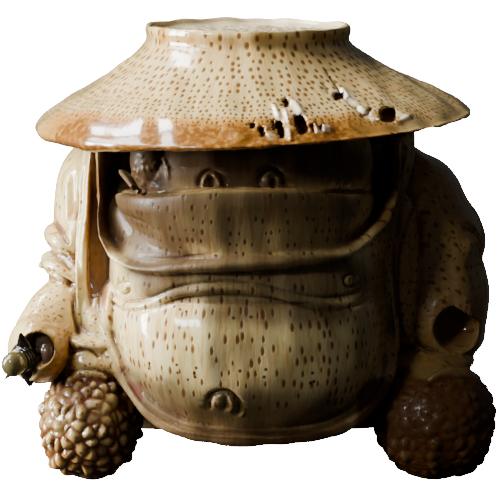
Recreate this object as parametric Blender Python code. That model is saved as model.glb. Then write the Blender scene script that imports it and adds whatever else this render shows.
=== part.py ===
"""A toad in a wide hat and an open robe, carved from one bamboo root, with a dark horn rod in its fist.

The carving is one solid that faces -Y and stands on z = 0. It is a free form, so its pose and its carving
are shares of its height: places are written in drawn millimetres, and UNIT turns one of them into metres.
The walls, the rod and its fit have real sizes of their own, in metres.
"""

import math

import bmesh
import bpy
import numpy as np
from mathutils import Matrix, Vector
from mathutils.bvhtree import BVHTree
from mathutils.kdtree import KDTree

# Driving sizes, in metres
HEIGHT = 0.0834
CROWN_WALL = 0.0012
CROWN_RECESS = 0.0014
ROD_RADIUS = 0.0017
ROD_IN_FIST = 0.0080
ROD_OUT_OF_FIST = 0.0042
KNOB_RADIUS = 0.0022
COLLAR_RADIUS = 0.0038
SOCKET_CLEARANCE = 0.0003

# One drawn millimetre, as a share of the height
DRAWN_HEIGHT = 83.4
UNIT = HEIGHT / DRAWN_HEIGHT

# How fine the skin is while it is carved, and how many triangles it keeps
VOXEL = 0.6 * UNIT
SOFTENING_STEPS = 3
CARVING_TRIANGLES = 8950

# The hat: radius and height down its outer side, from the crown's lip to the brim's edge
HAT_PROFILE = (
    (19.4, 83.4), (19.6, 82.3), (19.3, 81.0), (19.8, 79.8), (21.5, 78.3), (24.6, 76.0),
    (28.2, 73.8), (32.4, 71.6), (36.3, 69.6), (39.3, 67.6), (41.2, 65.8), (41.6, 64.5), (40.6, 63.4),
)
HAT_SIDES = 72
# How far the underside rises from the brim's edge, and how thick the brim is under its hollows
BRIM_UNDERCUT = 1.4
BRIM_THICKNESS = 2.6
FLARE_START = 20.0
BRIM_TILT = 1.3
CROWN_SHIFT = -0.35
BRIM_SHIFT = 0.4
BRIM_WAVE = 0.35
# Hollows that worms left in the brim: x, y, length, width, depth and turn in degrees
HAT_HOLLOWS = (
    (4.6, -34.8, 3.4, 1.4, 1.8, 78), (7.9, -34.2, 3.6, 1.3, 2.0, 75), (10.4, -37.0, 2.2, 1.2, 1.4, 70),
    (16.4, -24.4, 4.4, 1.1, 1.2, -52), (21.0, -29.0, 3.8, 1.2, 1.3, -46), (24.8, -28.5, 2.4, 1.6, 1.8, 10),
)

# Height, left, right, front and back of each body, and how far back a body is widest
WIDEST_AT = 4.0
ROBE_SECTIONS = (
    (66.0, -31.0, 31.0, -12.0, 25.0), (60.0, -31.6, 31.6, -12.5, 28.0), (50.0, -32.0, 32.0, -12.5, 30.5),
    (40.0, -32.5, 32.5, -13.0, 32.0), (32.0, -33.0, 33.0, -16.0, 32.5), (27.0, -32.5, 32.5, -20.0, 32.4),
    (20.4, -30.0, 30.0, -25.5, 32.0), (15.6, -26.0, 26.0, -30.6, 31.5), (12.6, -20.5, 21.0, -32.6, 30.0),
    (10.6, -16.0, 17.0, -31.6, 29.0),
)
CHEST_SECTIONS = (
    (49.0, -23.4, 22.8, -30.0, 5.0), (45.0, -25.6, 24.2, -33.2, 5.0), (40.5, -26.4, 25.0, -34.8, 5.0),
    (36.0, -26.4, 25.2, -34.4, 5.0), (30.0, -25.0, 25.0, -31.0, 5.0),
)
BELLY_SECTIONS = (
    (38.0, -23.0, 22.8, -31.5, 5.0), (36.0, -25.4, 24.8, -34.6, 5.0), (33.0, -26.0, 25.4, -36.5, 5.0),
    (28.4, -25.8, 25.8, -37.7, 5.0), (23.4, -24.6, 25.4, -37.9, 5.0), (18.7, -22.4, 23.6, -37.0, 5.0),
    (15.3, -19.6, 20.8, -35.4, 5.0), (13.0, -16.0, 17.2, -33.8, 5.0), (11.8, -12.0, 13.0, -31.6, 5.0),
)
LIP_SECTIONS = (
    (57.0, -24.8, 24.4, -34.4, 5.0), (56.4, -25.2, 25.0, -36.2, 5.0), (53.6, -25.0, 25.0, -36.4, 5.0),
    (51.2, -24.2, 24.2, -35.2, 5.0), (49.6, -22.8, 23.0, -33.0, 5.0), (48.6, -21.0, 21.0, -30.0, 5.0),
)
THROAT_SECTIONS = (
    (51.5, -22.0, 22.0, -31.6, 5.0), (49.4, -22.6, 22.8, -33.8, 5.0), (46.0, -22.0, 22.4, -34.8, 5.0),
    (42.5, -19.6, 20.0, -33.0, 5.0),
)
HEAD_SECTIONS = (
    (66.0, -23.0, 23.0, -30.0, 5.0), (60.0, -24.0, 24.0, -32.4, 5.0), (55.0, -24.0, 24.0, -32.8, 5.0),
)
JAW_SECTIONS = (
    (62.0, -28.0, 28.0, -17.0, 5.0), (57.0, -28.6, 28.6, -19.0, 5.0), (54.0, -28.4, 28.4, -26.5, 5.0),
    (50.0, -28.0, 28.0, -27.5, 5.0), (46.0, -27.0, 27.0, -28.0, 5.0), (42.0, -26.0, 26.0, -28.0, 5.0),
)
HANGING_SLEEVE_SECTIONS = (
    (60.2, 24.0, 30.0, -2.0, 9.0), (58.6, 23.0, 33.4, -6.0, 12.0), (56.6, 22.5, 37.2, -8.4, 13.6),
    (53.8, 22.5, 39.9, -10.4, 14.4), (50.1, 23.0, 41.8, -11.8, 14.6), (46.5, 24.0, 43.9, -12.6, 14.2),
    (43.0, 25.0, 45.2, -13.2, 13.4), (40.6, 25.4, 45.3, -13.8, 12.6), (38.4, 25.8, 44.9, -14.2, 11.8),
    (36.0, 26.0, 45.5, -14.9, 11.0), (33.0, 26.4, 46.0, -15.8, 9.6), (29.6, 27.0, 45.9, -16.6, 8.0),
    (26.6, 27.8, 45.4, -17.0, 6.2), (23.8, 29.0, 45.0, -16.6, 4.0), (21.8, 31.0, 43.6, -14.8, 1.0),
)
ROLLED_SLEEVE_SECTIONS = (
    (61.4, -30.6, -24.0, -1.0, 10.0), (59.6, -33.6, -22.0, -5.0, 12.6), (57.0, -35.8, -21.0, -7.8, 14.4),
    (53.6, -37.2, -20.6, -9.6, 15.2), (49.0, -37.9, -20.4, -10.6, 15.0), (44.6, -38.0, -21.0, -11.0, 13.6),
    (39.0, -37.0, -23.0, -11.0, 11.0), (33.0, -35.6, -26.0, -10.0, 7.0),
)
SLEEVE_SQUARENESS = 2.25
BODY_SQUARENESS = 2.7
ROBE_SQUARENESS = 3.2
MOUTH_HALF_WIDTH = 24.6
MOUTH_HEIGHT = 57.0
MOUTH_DROOP = 2.4

# Rounded lumps, each as centre, radii and lean in degrees about Y
CHEEKS = (((-18.4, -24.6, 61.0), (4.8, 5.6, 6.0), 0), ((17.8, -24.6, 61.0), (4.8, 5.6, 6.0), 0))
CUFF_ROLLS = (((-34.2, -3.0, 42.2), (5.6, 9.5, 3.0), 26), ((-34.4, -5.6, 37.2), (5.9, 9.4, 2.8), 26))
FOREARM = ((-34.0, -8.0, 33.6), (-36.8, -12.6, 29.8), (-38.6, -16.6, 26.2))
FOREARM_RADII = (4.2, 5.2, 6.0)
FIST = ((-38.6, -18.8, 24.6), (6.6, 8.2, 6.8), 0)
FIST_MOUTH = ((-38.9, -27.4, 24.8), (2.9, 5.2, 3.4))
CUFF_HOLLOW = ((39.8, -18.6, 29.2), (4.6, 8.0, 4.4))
LEFT_FOOT = ((-29.9, -17.0, 9.8), (9.6, 11.6, 10.3))
RIGHT_FOOT = ((34.5, -17.0, 10.9), (11.5, 11.8, 11.4))
# The fuller outer side of each foot
HEELS = (((-32.8, -17.0, 8.2), (6.4, 10.0, 8.1), 0), ((38.6, -17.0, 8.5), (6.8, 10.5, 8.4), 0))
TROUSER_ROLLS = (
    ((-28.6, -12.6, 20.6), (7.8, 9.6, 2.7), 6),
    ((-28.6, -11.6, 24.2), (6.6, 9.4, 2.5), 6),
    ((33.6, -10.0, 21.0), (9.0, 10.6, 3.2), 0),
)
THIGHS = (((-28.0, 4.0, 9.0), (7.4, 17.0, 10.6), 0), ((31.6, 4.0, 9.0), (7.4, 17.0, 10.6), 0))
HIPS = (((-26.0, -6.0, 18.0), (7.0, 11.0, 6.0), 0), ((28.0, -6.0, 18.0), (7.0, 11.0, 6.0), 0))
# Skin that joins the left arm to the lapel, and the right foot to the robe
WEBS = (
    ((-31.0, -9.0, 27.0), (4.4, 5.6, 6.0), 0),
    ((-32.4, -16.4, 23.4), (4.4, 5.4, 5.6), 0),
    ((25.5, -16.0, 17.0), (3.6, 5.5, 4.0), 0),
)

# The robe's back hem, which the carving also stands on
BACK_HEM_SECTIONS = (
    (-1.5, -27.5, 28.5, 17.5, 31.0), (4.0, -29.0, 30.0, 16.5, 32.0), (15.0, -31.0, 31.0, 8.0, 32.6),
    (24.0, -32.0, 32.0, 0.0, 32.6),
)

# The robe's edge down both sides and under the belly: its places on the front, and its half width
ROBE_EDGE = (
    (-29.4, -12.6, 63.0, 0.9), (-29.9, -13.8, 57.0, 0.9), (-30.2, -14.8, 50.0, 1.0),
    (-31.0, -15.6, 42.0, 1.1), (-30.7, -17.0, 34.0, 1.5), (-29.2, -19.0, 28.4, 2.2),
    (-26.2, -22.0, 23.8, 1.6), (-21.6, -26.6, 18.0, 1.1), (-17.2, -30.4, 13.8, 1.1),
    (-9.0, -34.2, 11.5, 1.1), (0.0, -35.2, 11.0, 1.1), (9.0, -34.2, 11.2, 1.1),
    (17.2, -31.0, 12.6, 1.1), (22.4, -26.6, 15.6, 1.1), (25.8, -22.0, 20.4, 1.2),
    (26.8, -18.8, 27.0, 1.1), (26.0, -17.4, 35.0, 1.0), (25.8, -16.8, 43.0, 1.0),
    (26.6, -16.0, 51.0, 1.0), (28.6, -14.2, 58.0, 0.9), (29.6, -12.6, 63.0, 0.9),
)
EDGE_DEPTH_HIGH = 4.0
EDGE_DEPTH_LOW = 1.4
EDGE_LOW = 13.0
EDGE_HIGH = 30.0
# The hat's strap, a squared U under the chin: half width, top, bottom and how square it is
STRAP_HALF_WIDTH = 26.8
STRAP_TOP = 64.0
STRAP_BOTTOM = 43.1
STRAP_SQUARENESS = 3.3
STRAP_RISE = 1.6
STRAP_BACK = -19.0
STRAP_FRONT = -36.6
STRAP_NARROW = 0.85
STRAP_WIDE = 1.45
STRAP_DEPTH = 7.0

# The rod's place in the fist, and the way it points
ROD_PLACE = (-39.5, -20.6, 24.5)
ROD_HEADING = (-0.473, -0.871, -0.133)

# Lines cut on the front, as (x, z)
UPPER_FOLD = (
    (-24.6, 36.2), (-22.1, 35.1), (-18.3, 36.4), (-13.4, 38.9), (-6.0, 40.2),
    (0.0, 40.1), (6.0, 38.7), (13.0, 37.1), (18.4, 37.2), (22.2, 38.9),
)
LOWER_FOLD = (
    (-25.0, 34.6), (-21.7, 33.2), (-17.0, 34.8), (-12.1, 36.9), (-6.0, 37.8),
    (0.0, 37.7), (6.0, 36.7), (13.0, 34.9), (18.3, 34.7), (22.8, 36.2),
)
SLEEVE_FOLDS = (
    ((31.4, 57.0), (29.6, 50.0), (28.6, 42.0), (28.8, 32.0), (30.6, 25.0)),
    ((34.4, 54.0), (32.6, 47.0), (31.8, 40.0)),
    ((-33.6, 52.0), (-32.6, 46.0)),
)
CUFF_NOTCH = ((36.6, 42.0), (40.0, 39.4), (44.0, 38.2))
NAVEL = (-4.5, 18.6, 2.6)
NIPPLES = ((-22.8, 37.9, 1.2), (18.2, 39.7, 1.2))
NOSTRILS = ((-6.7, 58.0, 2.1), (3.8, 58.2, 2.3))
BACK_FOLDS = (-24.0, -15.0, -5.0, 5.0, 15.0, 24.0)
BACK_FOLD_LINE = ((0.7, 58.0), (0.9, 40.0), (1.0, 24.0), (1.04, 6.0))
WART_SEED = 7
WART_SPACING = 2.9
WART_HEIGHT = 0.5
# The warts fade out towards the soles over this height
SOLE_FADE = 2.0

IVORY = (0.78, 0.62, 0.40, 1.0)
HORN = (0.035, 0.034, 0.030, 1.0)


def at(x, y, z):
    """A drawn place, in metres."""
    return Vector((x, y, z)) * UNIT


def clear_scene():
    for obj in list(bpy.data.objects):
        bpy.data.objects.remove(obj, do_unlink=True)


def plain_material(name, colour, roughness):
    material = bpy.data.materials.new(name)
    material.use_nodes = True
    shader = material.node_tree.nodes["Principled BSDF"]
    shader.inputs["Base Color"].default_value = colour
    shader.inputs["Roughness"].default_value = roughness
    shader.inputs["Metallic"].default_value = 0.0
    return material


def object_from(bm, name, material):
    bmesh.ops.recalc_face_normals(bm, faces=bm.faces)
    mesh = bpy.data.meshes.new(name)
    bm.to_mesh(mesh)
    bm.free()
    mesh.materials.append(material)
    obj = bpy.data.objects.new(name, mesh)
    bpy.context.scene.collection.objects.link(obj)
    return obj


def smooth_path(points, per_span=6):
    """A smooth curve through points of any dimension, by the Catmull-Rom formula."""
    points = [np.array(p, float) for p in points]
    ends = [2 * points[0] - points[1], *points, 2 * points[-1] - points[-2]]
    path = []
    for before, start, end, after in zip(ends, ends[1:], ends[2:], ends[3:]):
        for step in range(per_span):
            t = step / per_span
            linear = 2 * start + (end - before) * t
            square = (2 * before - 5 * start + 4 * end - after) * t**2
            cube = (3 * start - before - 3 * end + after) * t**3
            path.append((linear + square + cube) / 2)
    path.append(points[-1])
    return path


def add_loft(bm, rings):
    """A closed skin over rings of points that have the same count."""
    loops = [[bm.verts.new(point) for point in ring] for ring in rings]
    count = len(loops[0])
    for low, high in zip(loops, loops[1:]):
        for i in range(count):
            j = (i + 1) % count
            bm.faces.new((low[i], low[j], high[j], high[i]))
    bm.faces.new(list(reversed(loops[0])))
    bm.faces.new(loops[-1])


def squared(value, squareness):
    """The sine or cosine of a superellipse: 2 keeps the circle, more makes it squarer."""
    return math.copysign(abs(value) ** (2 / squareness), value)


def body_ring(height, left, right, front, back, squareness, sides=64):
    """One level section of a body: a squared oval that is widest at the same place for all its front."""
    middle = min(WIDEST_AT, (front + 2 * back) / 3) if front < WIDEST_AT else (front + back) / 2
    ring = []
    for i in range(sides):
        angle = 2 * math.pi * i / sides
        reach = back - middle if math.sin(angle) > 0 else middle - front
        x = (left + right) / 2 + (right - left) / 2 * squared(math.cos(angle), squareness)
        y = middle + reach * squared(math.sin(angle), squareness)
        ring.append(at(x, y, height))
    return ring


def add_body(bm, sections, squareness=BODY_SQUARENESS):
    add_loft(bm, [body_ring(*section, squareness) for section in sections])


def add_lump(bm, centre, radii, lean=0.0):
    """An ellipsoid, leant about Y."""
    size = Matrix.Diagonal((*[r * UNIT for r in radii], 1.0))
    place = Matrix.Translation(at(*centre)) @ Matrix.Rotation(math.radians(lean), 4, "Y")
    bmesh.ops.create_uvsphere(bm, u_segments=40, v_segments=24, radius=1.0, matrix=place @ size)


def add_band(bm, path, half_widths, half_depths, sides=16):
    """A band with an oval section along a path: its width lies in the front view, its depth along Y."""
    rings = []
    for i, (point, width, depth) in enumerate(zip(path, half_widths, half_depths)):
        ahead = Vector(path[min(i + 1, len(path) - 1)]) - Vector(path[max(i - 1, 0)])
        across = ahead.cross(Vector((0, 1, 0))).normalized()
        out = across.cross(ahead).normalized()
        ring = []
        for k in range(sides):
            angle = 2 * math.pi * k / sides
            offset = across * width * math.cos(angle) + out * depth * math.sin(angle)
            ring.append(at(*(Vector(point) + offset)))
        rings.append(ring)
    add_loft(bm, rings)


def add_hat(bm):
    """The hat as a turned shape whose brim dips on one side, with a recess inside the crown's lip."""
    wall, recess = CROWN_WALL / UNIT, CROWN_RECESS / UNIT
    lip_radius, top = HAT_PROFILE[0]
    inner = lip_radius - wall
    brim_radius = max(radius for radius, height in HAT_PROFILE)
    inside = [
        (0.3, top - recess * 0.6), (inner * 0.6, top - recess * 0.7), (inner * 0.93, top - recess),
        (inner, top - recess * 0.4), (inner + 0.1, top),
    ]
    rim = HAT_PROFILE[-1][1]
    underside = [(brim_radius * 0.85, rim + 0.6 * BRIM_UNDERCUT), (0.3, rim + BRIM_UNDERCUT)]
    rings = []
    for radius, height in [*inside, *HAT_PROFILE, *underside]:
        spread = max(0.0, (radius - FLARE_START) / (brim_radius - FLARE_START))
        ring = []
        for i in range(HAT_SIDES):
            angle = 2 * math.pi * i / HAT_SIDES
            wave = BRIM_WAVE * spread * (math.sin(3 * angle + 0.6) + 0.5 * math.sin(7 * angle))
            dip = BRIM_TILT * spread * math.cos(angle) + BRIM_WAVE * spread * math.sin(2 * angle + 1.0)
            x = (radius + wave) * math.cos(angle) + CROWN_SHIFT + (BRIM_SHIFT - CROWN_SHIFT) * spread
            ring.append(at(x, (radius + wave) * math.sin(angle), height + dip))
        rings.append(ring)
    add_loft(bm, rings)


def add_trunk(bm):
    """The robe's body, the jaw, the chest, the belly, the throat, the lower lip and the upper head."""
    add_body(bm, ROBE_SECTIONS, ROBE_SQUARENESS)
    add_body(bm, JAW_SECTIONS, ROBE_SQUARENESS)
    add_body(bm, CHEST_SECTIONS)
    add_body(bm, BELLY_SECTIONS)
    add_body(bm, THROAT_SECTIONS)
    for sections in (LIP_SECTIONS, HEAD_SECTIONS):
        first = len(bm.verts)
        add_body(bm, sections)
        bm.verts.ensure_lookup_table()
        for vert in bm.verts[first:]:
            vert.co.z -= MOUTH_DROOP * UNIT * (vert.co.x / (MOUTH_HALF_WIDTH * UNIT)) ** 2
    for cheek in CHEEKS:
        add_lump(bm, *cheek)


def add_limbs(bm):
    """The sleeves, the bare forearm with its fist, the rolled trousers and the feet."""
    add_body(bm, HANGING_SLEEVE_SECTIONS, SLEEVE_SQUARENESS)
    add_body(bm, ROLLED_SLEEVE_SECTIONS, SLEEVE_SQUARENESS)
    lumps = (*CUFF_ROLLS, *TROUSER_ROLLS, *THIGHS, *HIPS, *WEBS, *HEELS, FIST, LEFT_FOOT, RIGHT_FOOT)
    for lump in lumps:
        add_lump(bm, *lump)
    forearm = smooth_path([(*place, radius) for place, radius in zip(FOREARM, FOREARM_RADII)])
    radii = [p[3] for p in forearm]
    add_band(bm, [p[:3] for p in forearm], radii, radii, sides=24)


def add_robe_edge(bm):
    """The robe's edge, which is a deep wall beside the chest and a thin hem under the belly."""
    edge = smooth_path(ROBE_EDGE, per_span=4)
    depths = [np.interp(z, (EDGE_LOW, EDGE_HIGH), (EDGE_DEPTH_LOW, EDGE_DEPTH_HIGH)) for x, y, z, w in edge]
    path = [(x, y + depth, z) for (x, y, z, w), depth in zip(edge, depths)]
    add_band(bm, path, [w for x, y, z, w in edge], depths)


def add_strap(bm):
    """The hat's strap: a squared U that is widest under the chin and deepest beside the head."""
    path, widths, depths = [], [], []
    for i in range(49):
        angle = math.pi * i / 48
        side = -squared(math.cos(angle), STRAP_SQUARENESS)
        drop = squared(math.sin(angle), STRAP_SQUARENESS)
        width = STRAP_NARROW + (STRAP_WIDE - STRAP_NARROW) * drop**4
        depth = STRAP_DEPTH + (STRAP_WIDE - STRAP_DEPTH) * drop**4
        z = STRAP_TOP - (STRAP_TOP - STRAP_BOTTOM) * drop + STRAP_RISE * max(0.0, side) * drop
        front = STRAP_BACK + (STRAP_FRONT - STRAP_BACK) * (1 - abs(side) ** 2.6) ** 0.8
        path.append((STRAP_HALF_WIDTH * side, front + depth, z))
        widths.append(width)
        depths.append(depth)
    add_band(bm, path, widths, depths)


def fuse(obj):
    """One skin over all the shapes of an object, a little softened."""
    remesh = obj.modifiers.new("fuse", "REMESH")
    remesh.mode = "VOXEL"
    remesh.voxel_size = VOXEL
    soften = obj.modifiers.new("soften", "SMOOTH")
    soften.factor = 0.5
    soften.iterations = SOFTENING_STEPS
    graph = bpy.context.evaluated_depsgraph_get()
    mesh = bpy.data.meshes.new_from_object(obj.evaluated_get(graph))
    obj.modifiers.clear()
    obj.data = mesh


def coordinates(mesh):
    points = np.empty(len(mesh.vertices) * 3, np.float32)
    mesh.vertices.foreach_get("co", points)
    return points.reshape(-1, 3).astype(float)


def normals(mesh):
    out = np.empty(len(mesh.vertices) * 3, np.float32)
    mesh.vertex_normals.foreach_get("vector", out)
    return out.reshape(-1, 3).astype(float)


def tree_over(points, mesh):
    return BVHTree.FromPolygons([Vector(p) for p in points], [tuple(f.vertices) for f in mesh.polygons])


def on_skin(tree, x, z, from_back=False):
    """The place on the skin at the drawn (x, z), met from the front or from the back."""
    side = 1 if from_back else -1
    start = at(x, side * DRAWN_HEIGHT, z)
    hit = tree.ray_cast(start, Vector((0, -side, 0)))[0]
    return np.array(hit if hit is not None else at(x, 0.0, z))


def distance_to_path(points, path):
    """The distance from each point to the nearest stretch of the path."""
    nearest = np.full(len(points), np.inf)
    for start, end in zip(path, path[1:]):
        along = end - start
        share = np.clip((points - start) @ along / max(along @ along, 1e-18), 0, 1)
        away = np.linalg.norm(points - start - share[:, None] * along, axis=1)
        nearest = np.minimum(nearest, away)
    return nearest


def stroke(points, path, width, height):
    """How far each point moves along its normal for one stroke. A negative height cuts in."""
    share = np.clip(distance_to_path(points, path) / (width * UNIT), 0, 1)
    return height * UNIT * (1 - share**2) ** 2


def ring_on_skin(tree, x, z, radius, start=0, end=360):
    """A part of a circle on the front round the drawn (x, z), between two angles in degrees."""
    angles = [math.radians(start + (end - start) * i / 12) for i in range(13)]
    return [on_skin(tree, x + radius * math.cos(a), z + radius * math.sin(a)) for a in angles]


def button(points, tree, x, z, radius, depth, height):
    """A round button in a ring-shaped groove, as the nipples and the navel are carved."""
    moved = stroke(points, ring_on_skin(tree, x, z, radius), radius * 0.36, -depth)
    middle = on_skin(tree, x, z)
    return moved + stroke(points, [middle, middle + 1e-6], radius * 0.75, height)


def mouth_line(tree):
    line = []
    for share in np.linspace(-1, 1, 17):
        x = share * MOUTH_HALF_WIDTH
        line.append(on_skin(tree, x, MOUTH_HEIGHT + 0.2 - MOUTH_DROOP * share**2))
    return line


def carve_front(points, tree):
    """The mouth, the nostrils, the roll under the chest, the sleeve folds, the nipples and the navel."""
    def line(pairs):
        return [on_skin(tree, x, z) for x, z in smooth_path(pairs)]

    moved = stroke(points, mouth_line(tree), 0.9, -0.9)
    moved += stroke(points, line(UPPER_FOLD), 1.0, -0.9)
    moved += stroke(points, line(LOWER_FOLD), 1.0, -0.9)
    for fold in SLEEVE_FOLDS:
        moved += stroke(points, line(fold), 1.5, -0.9)
    moved += stroke(points, line(CUFF_NOTCH), 1.6, -1.5)
    for x, z, radius in NOSTRILS:
        moved += stroke(points, ring_on_skin(tree, x, z, radius, -10, 190), 0.9, -0.8)
        inner = [on_skin(tree, x, z - radius * 0.4), on_skin(tree, x + 0.2, z + radius * 0.3)]
        moved += stroke(points, inner, radius * 0.55, 0.9)
    for x, z, radius in NIPPLES:
        moved += button(points, tree, x, z, radius, 0.4, 0.5)
    return moved + button(points, tree, *NAVEL, 0.9, 0.9)


def carve_back(points, tree):
    """Plain folds that hang down the robe's back, spreading towards the hem."""
    moved = np.zeros(len(points))
    for x in BACK_FOLDS:
        path = [on_skin(tree, x * spread, z, True) for spread, z in BACK_FOLD_LINE]
        moved += stroke(points, path, 3.0, -1.3)
    return moved


def wart_places(centre, radii, rng):
    """Places spread over an ellipsoid about WART_SPACING apart, each a little off its row."""
    mean = sum(radii) / 3
    count = int(4 * math.pi * mean**2 / (0.87 * WART_SPACING**2))
    turn = math.pi * (3 - math.sqrt(5))
    places = []
    for i in range(count):
        z = 1 - 2 * (i + 0.5) / count
        ring = math.sqrt(1 - z * z)
        unit = Vector((ring * math.cos(i * turn), ring * math.sin(i * turn), z))
        unit += Vector(rng.uniform(-0.05, 0.05, 3))
        places.append(at(*(c + r * u for c, r, u in zip(centre, radii, unit))))
    return places


def carve_warts(points, rng):
    """Warts over both feet, fading out under the trouser rolls and at the soles."""
    moved = np.zeros(len(points))
    for centre, radii in (LEFT_FOOT, RIGHT_FOOT):
        places = wart_places(centre, radii, rng)
        tree = KDTree(len(places))
        for i, place in enumerate(places):
            tree.insert(place, i)
        tree.balance()
        local = (points / UNIT - np.array(centre)) / np.array(radii)
        reach = np.linalg.norm(local, axis=1)
        for i in np.where((reach < 1.1) & (local[:, 2] < 0.95))[0]:
            share = min(1.0, tree.find(Vector(points[i]))[2] / (0.6 * WART_SPACING * UNIT))
            fade = min(1.0, (0.95 - local[i][2]) / 0.25) * min(1.0, max(0.0, 0.9 - local[i][1]))
            fade *= min(1.0, max(0.0, points[i][2] / (SOLE_FADE * UNIT)))
            moved[i] = WART_HEIGHT * UNIT * fade * (1 - 1.6 * share**2)
    return moved


def gouge(points, centre, radii):
    """Pushes the skin inside an ellipsoid back to its far side, as a round gouge leaves it."""
    local = (points / UNIT - np.array(centre)) / np.array(radii)
    across = local[:, 0] ** 2 + local[:, 2] ** 2
    floor = np.sqrt(np.clip(1 - across, 0, 1))
    inside = (across < 1) & (local[:, 1] > -1.6) & (local[:, 1] < floor)
    points[inside, 1] = UNIT * (centre[1] + radii[1] * floor[inside])


def gouge_hat(points, x, y, length, width, depth, turn):
    """Sinks one long hollow into the top of the brim."""
    spin = math.radians(turn)
    across = points[:, :2] / UNIT - np.array((x, y))
    along = (across @ np.array((math.cos(spin), math.sin(spin)))) / length
    aside = (across @ np.array((-math.sin(spin), math.cos(spin)))) / width
    share = np.clip(along**2 + aside**2, 0, 1)
    on_top = points[:, 2] > (HAT_PROFILE[-1][1] + BRIM_THICKNESS) * UNIT
    points[:, 2] -= np.where(on_top, depth * UNIT * (1 - share**2), 0.0)


def carve(obj):
    """All strokes of the chisel, laid on the fused skin."""
    points = coordinates(obj.data)
    tree = tree_over(points, obj.data)
    rng = np.random.default_rng(WART_SEED)
    moved = carve_front(points, tree) + carve_back(points, tree) + carve_warts(points, rng)
    points += normals(obj.data) * moved[:, None]
    gouge(points, *CUFF_HOLLOW)
    gouge(points, *FIST_MOUTH)
    for hollow in HAT_HOLLOWS:
        gouge_hat(points, *hollow)
    obj.data.vertices.foreach_set("co", points.ravel())
    obj.data.update()


def thin_out(obj):
    """Brings the skin down to the triangles that its form needs."""
    obj.data.calc_loop_triangles()
    reduce = obj.modifiers.new("reduce", "DECIMATE")
    reduce.ratio = min(1.0, CARVING_TRIANGLES / len(obj.data.loop_triangles))
    reduce.use_collapse_triangulate = True


def add_cut(obj, cutter, name):
    cutter.hide_render = True
    cutter.display_type = "WIRE"
    cut = obj.modifiers.new(name, "BOOLEAN")
    cut.operation = "DIFFERENCE"
    cut.solver = "EXACT"
    cut.object = cutter


def ground_cutter(material):
    """A block whose top is the ground, which gives the feet and the back hem their flats."""
    bm = bmesh.new()
    block = Matrix.Translation(at(0, 0, -15)) @ Matrix.Diagonal((3 * HEIGHT, 3 * HEIGHT, 30 * UNIT, 1.0))
    bmesh.ops.create_cube(bm, size=1.0, matrix=block)
    return object_from(bm, "ground_cutter", material)


def rod_frame():
    """Its origin is in the fist, and its own Z runs along the rod, out of the fist."""
    heading = Vector(ROD_HEADING).normalized()
    side = Vector((0, 0, 1)).cross(heading).normalized()
    turned = Matrix((side, heading.cross(side), heading)).transposed().to_4x4()
    return Matrix.Translation(at(*ROD_PLACE)) @ turned


def turned_shape(profile, frame, name, material, sides=18):
    """A closed turned shape about the frame's own Z."""
    bm = bmesh.new()
    turns = [2 * math.pi * k / sides for k in range(sides)]
    rings = []
    for radius, height in profile:
        rings.append([frame @ Vector((radius * math.cos(a), radius * math.sin(a), height)) for a in turns])
    add_loft(bm, rings)
    return object_from(bm, name, material)


def socket_cutter(material):
    """The socket in the fist: the rod's shank and collar with their clearance, open to the outside."""
    shank, collar = ROD_RADIUS + SOCKET_CLEARANCE, COLLAR_RADIUS + SOCKET_CLEARANCE
    step = ROD_OUT_OF_FIST - SOCKET_CLEARANCE
    profile = [
        (shank, -ROD_IN_FIST - SOCKET_CLEARANCE), (shank, step),
        (collar, step), (collar, 4 * ROD_OUT_OF_FIST),
    ]
    return turned_shape(profile, rod_frame(), "socket_cutter", material)


def make_rod(material):
    """The rod's shank, its flared collar and the round knob on its end."""
    collar = ROD_OUT_OF_FIST
    profile = [
        (ROD_RADIUS * 0.8, -ROD_IN_FIST), (ROD_RADIUS, -ROD_IN_FIST + ROD_RADIUS * 0.2),
        (ROD_RADIUS, collar), (COLLAR_RADIUS * 0.94, collar),
        (COLLAR_RADIUS, collar + COLLAR_RADIUS * 0.12), (COLLAR_RADIUS * 0.6, collar + COLLAR_RADIUS * 0.3),
        (KNOB_RADIUS * 0.62, collar + COLLAR_RADIUS * 0.4),
    ]
    knob_centre = profile[-1][1] + KNOB_RADIUS * 0.8
    for step in range(-3, 6):
        angle = math.radians(step * 16)
        profile.append((KNOB_RADIUS * math.cos(angle), knob_centre + KNOB_RADIUS * math.sin(angle)))
    rod = turned_shape(profile, rod_frame(), "horn_rod", material)
    rod.data.shade_smooth()
    rod.data.set_sharp_from_angle(angle=math.radians(40))
    return rod


def make_carving(material):
    bm = bmesh.new()
    add_hat(bm)
    add_trunk(bm)
    add_limbs(bm)
    add_robe_edge(bm)
    add_strap(bm)
    add_body(bm, BACK_HEM_SECTIONS, ROBE_SQUARENESS)
    carving = object_from(bm, "toad_carving", material)
    fuse(carving)
    carve(carving)
    thin_out(carving)
    add_cut(carving, ground_cutter(material), "flat feet")
    add_cut(carving, socket_cutter(material), "rod socket")
    carving.data.materials.clear()
    carving.data.materials.append(material)
    return carving


def main():
    clear_scene()
    make_carving(plain_material("ivory_bamboo", IVORY, 0.35))
    make_rod(plain_material("dark_horn", HORN, 0.25))


main()
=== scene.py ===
# %% [markdown]
# A toad in a wide hat, carved from one bamboo root
#
# The real object is a palm-sized ornament. A carver turned a bamboo root upside down, made its stump a hat
# and cut a fat toad in an open robe below it. The dots are where the rootlets grew. This lesson dresses the
# solid model of it: the same forms are built again with a fine skin, carved, stained and lit.

# %% Load the fixed frame
import math

import bpy
import numpy as np
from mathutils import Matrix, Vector, noise
from mathutils.bvhtree import BVHTree
from mathutils.kdtree import KDTree


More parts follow.
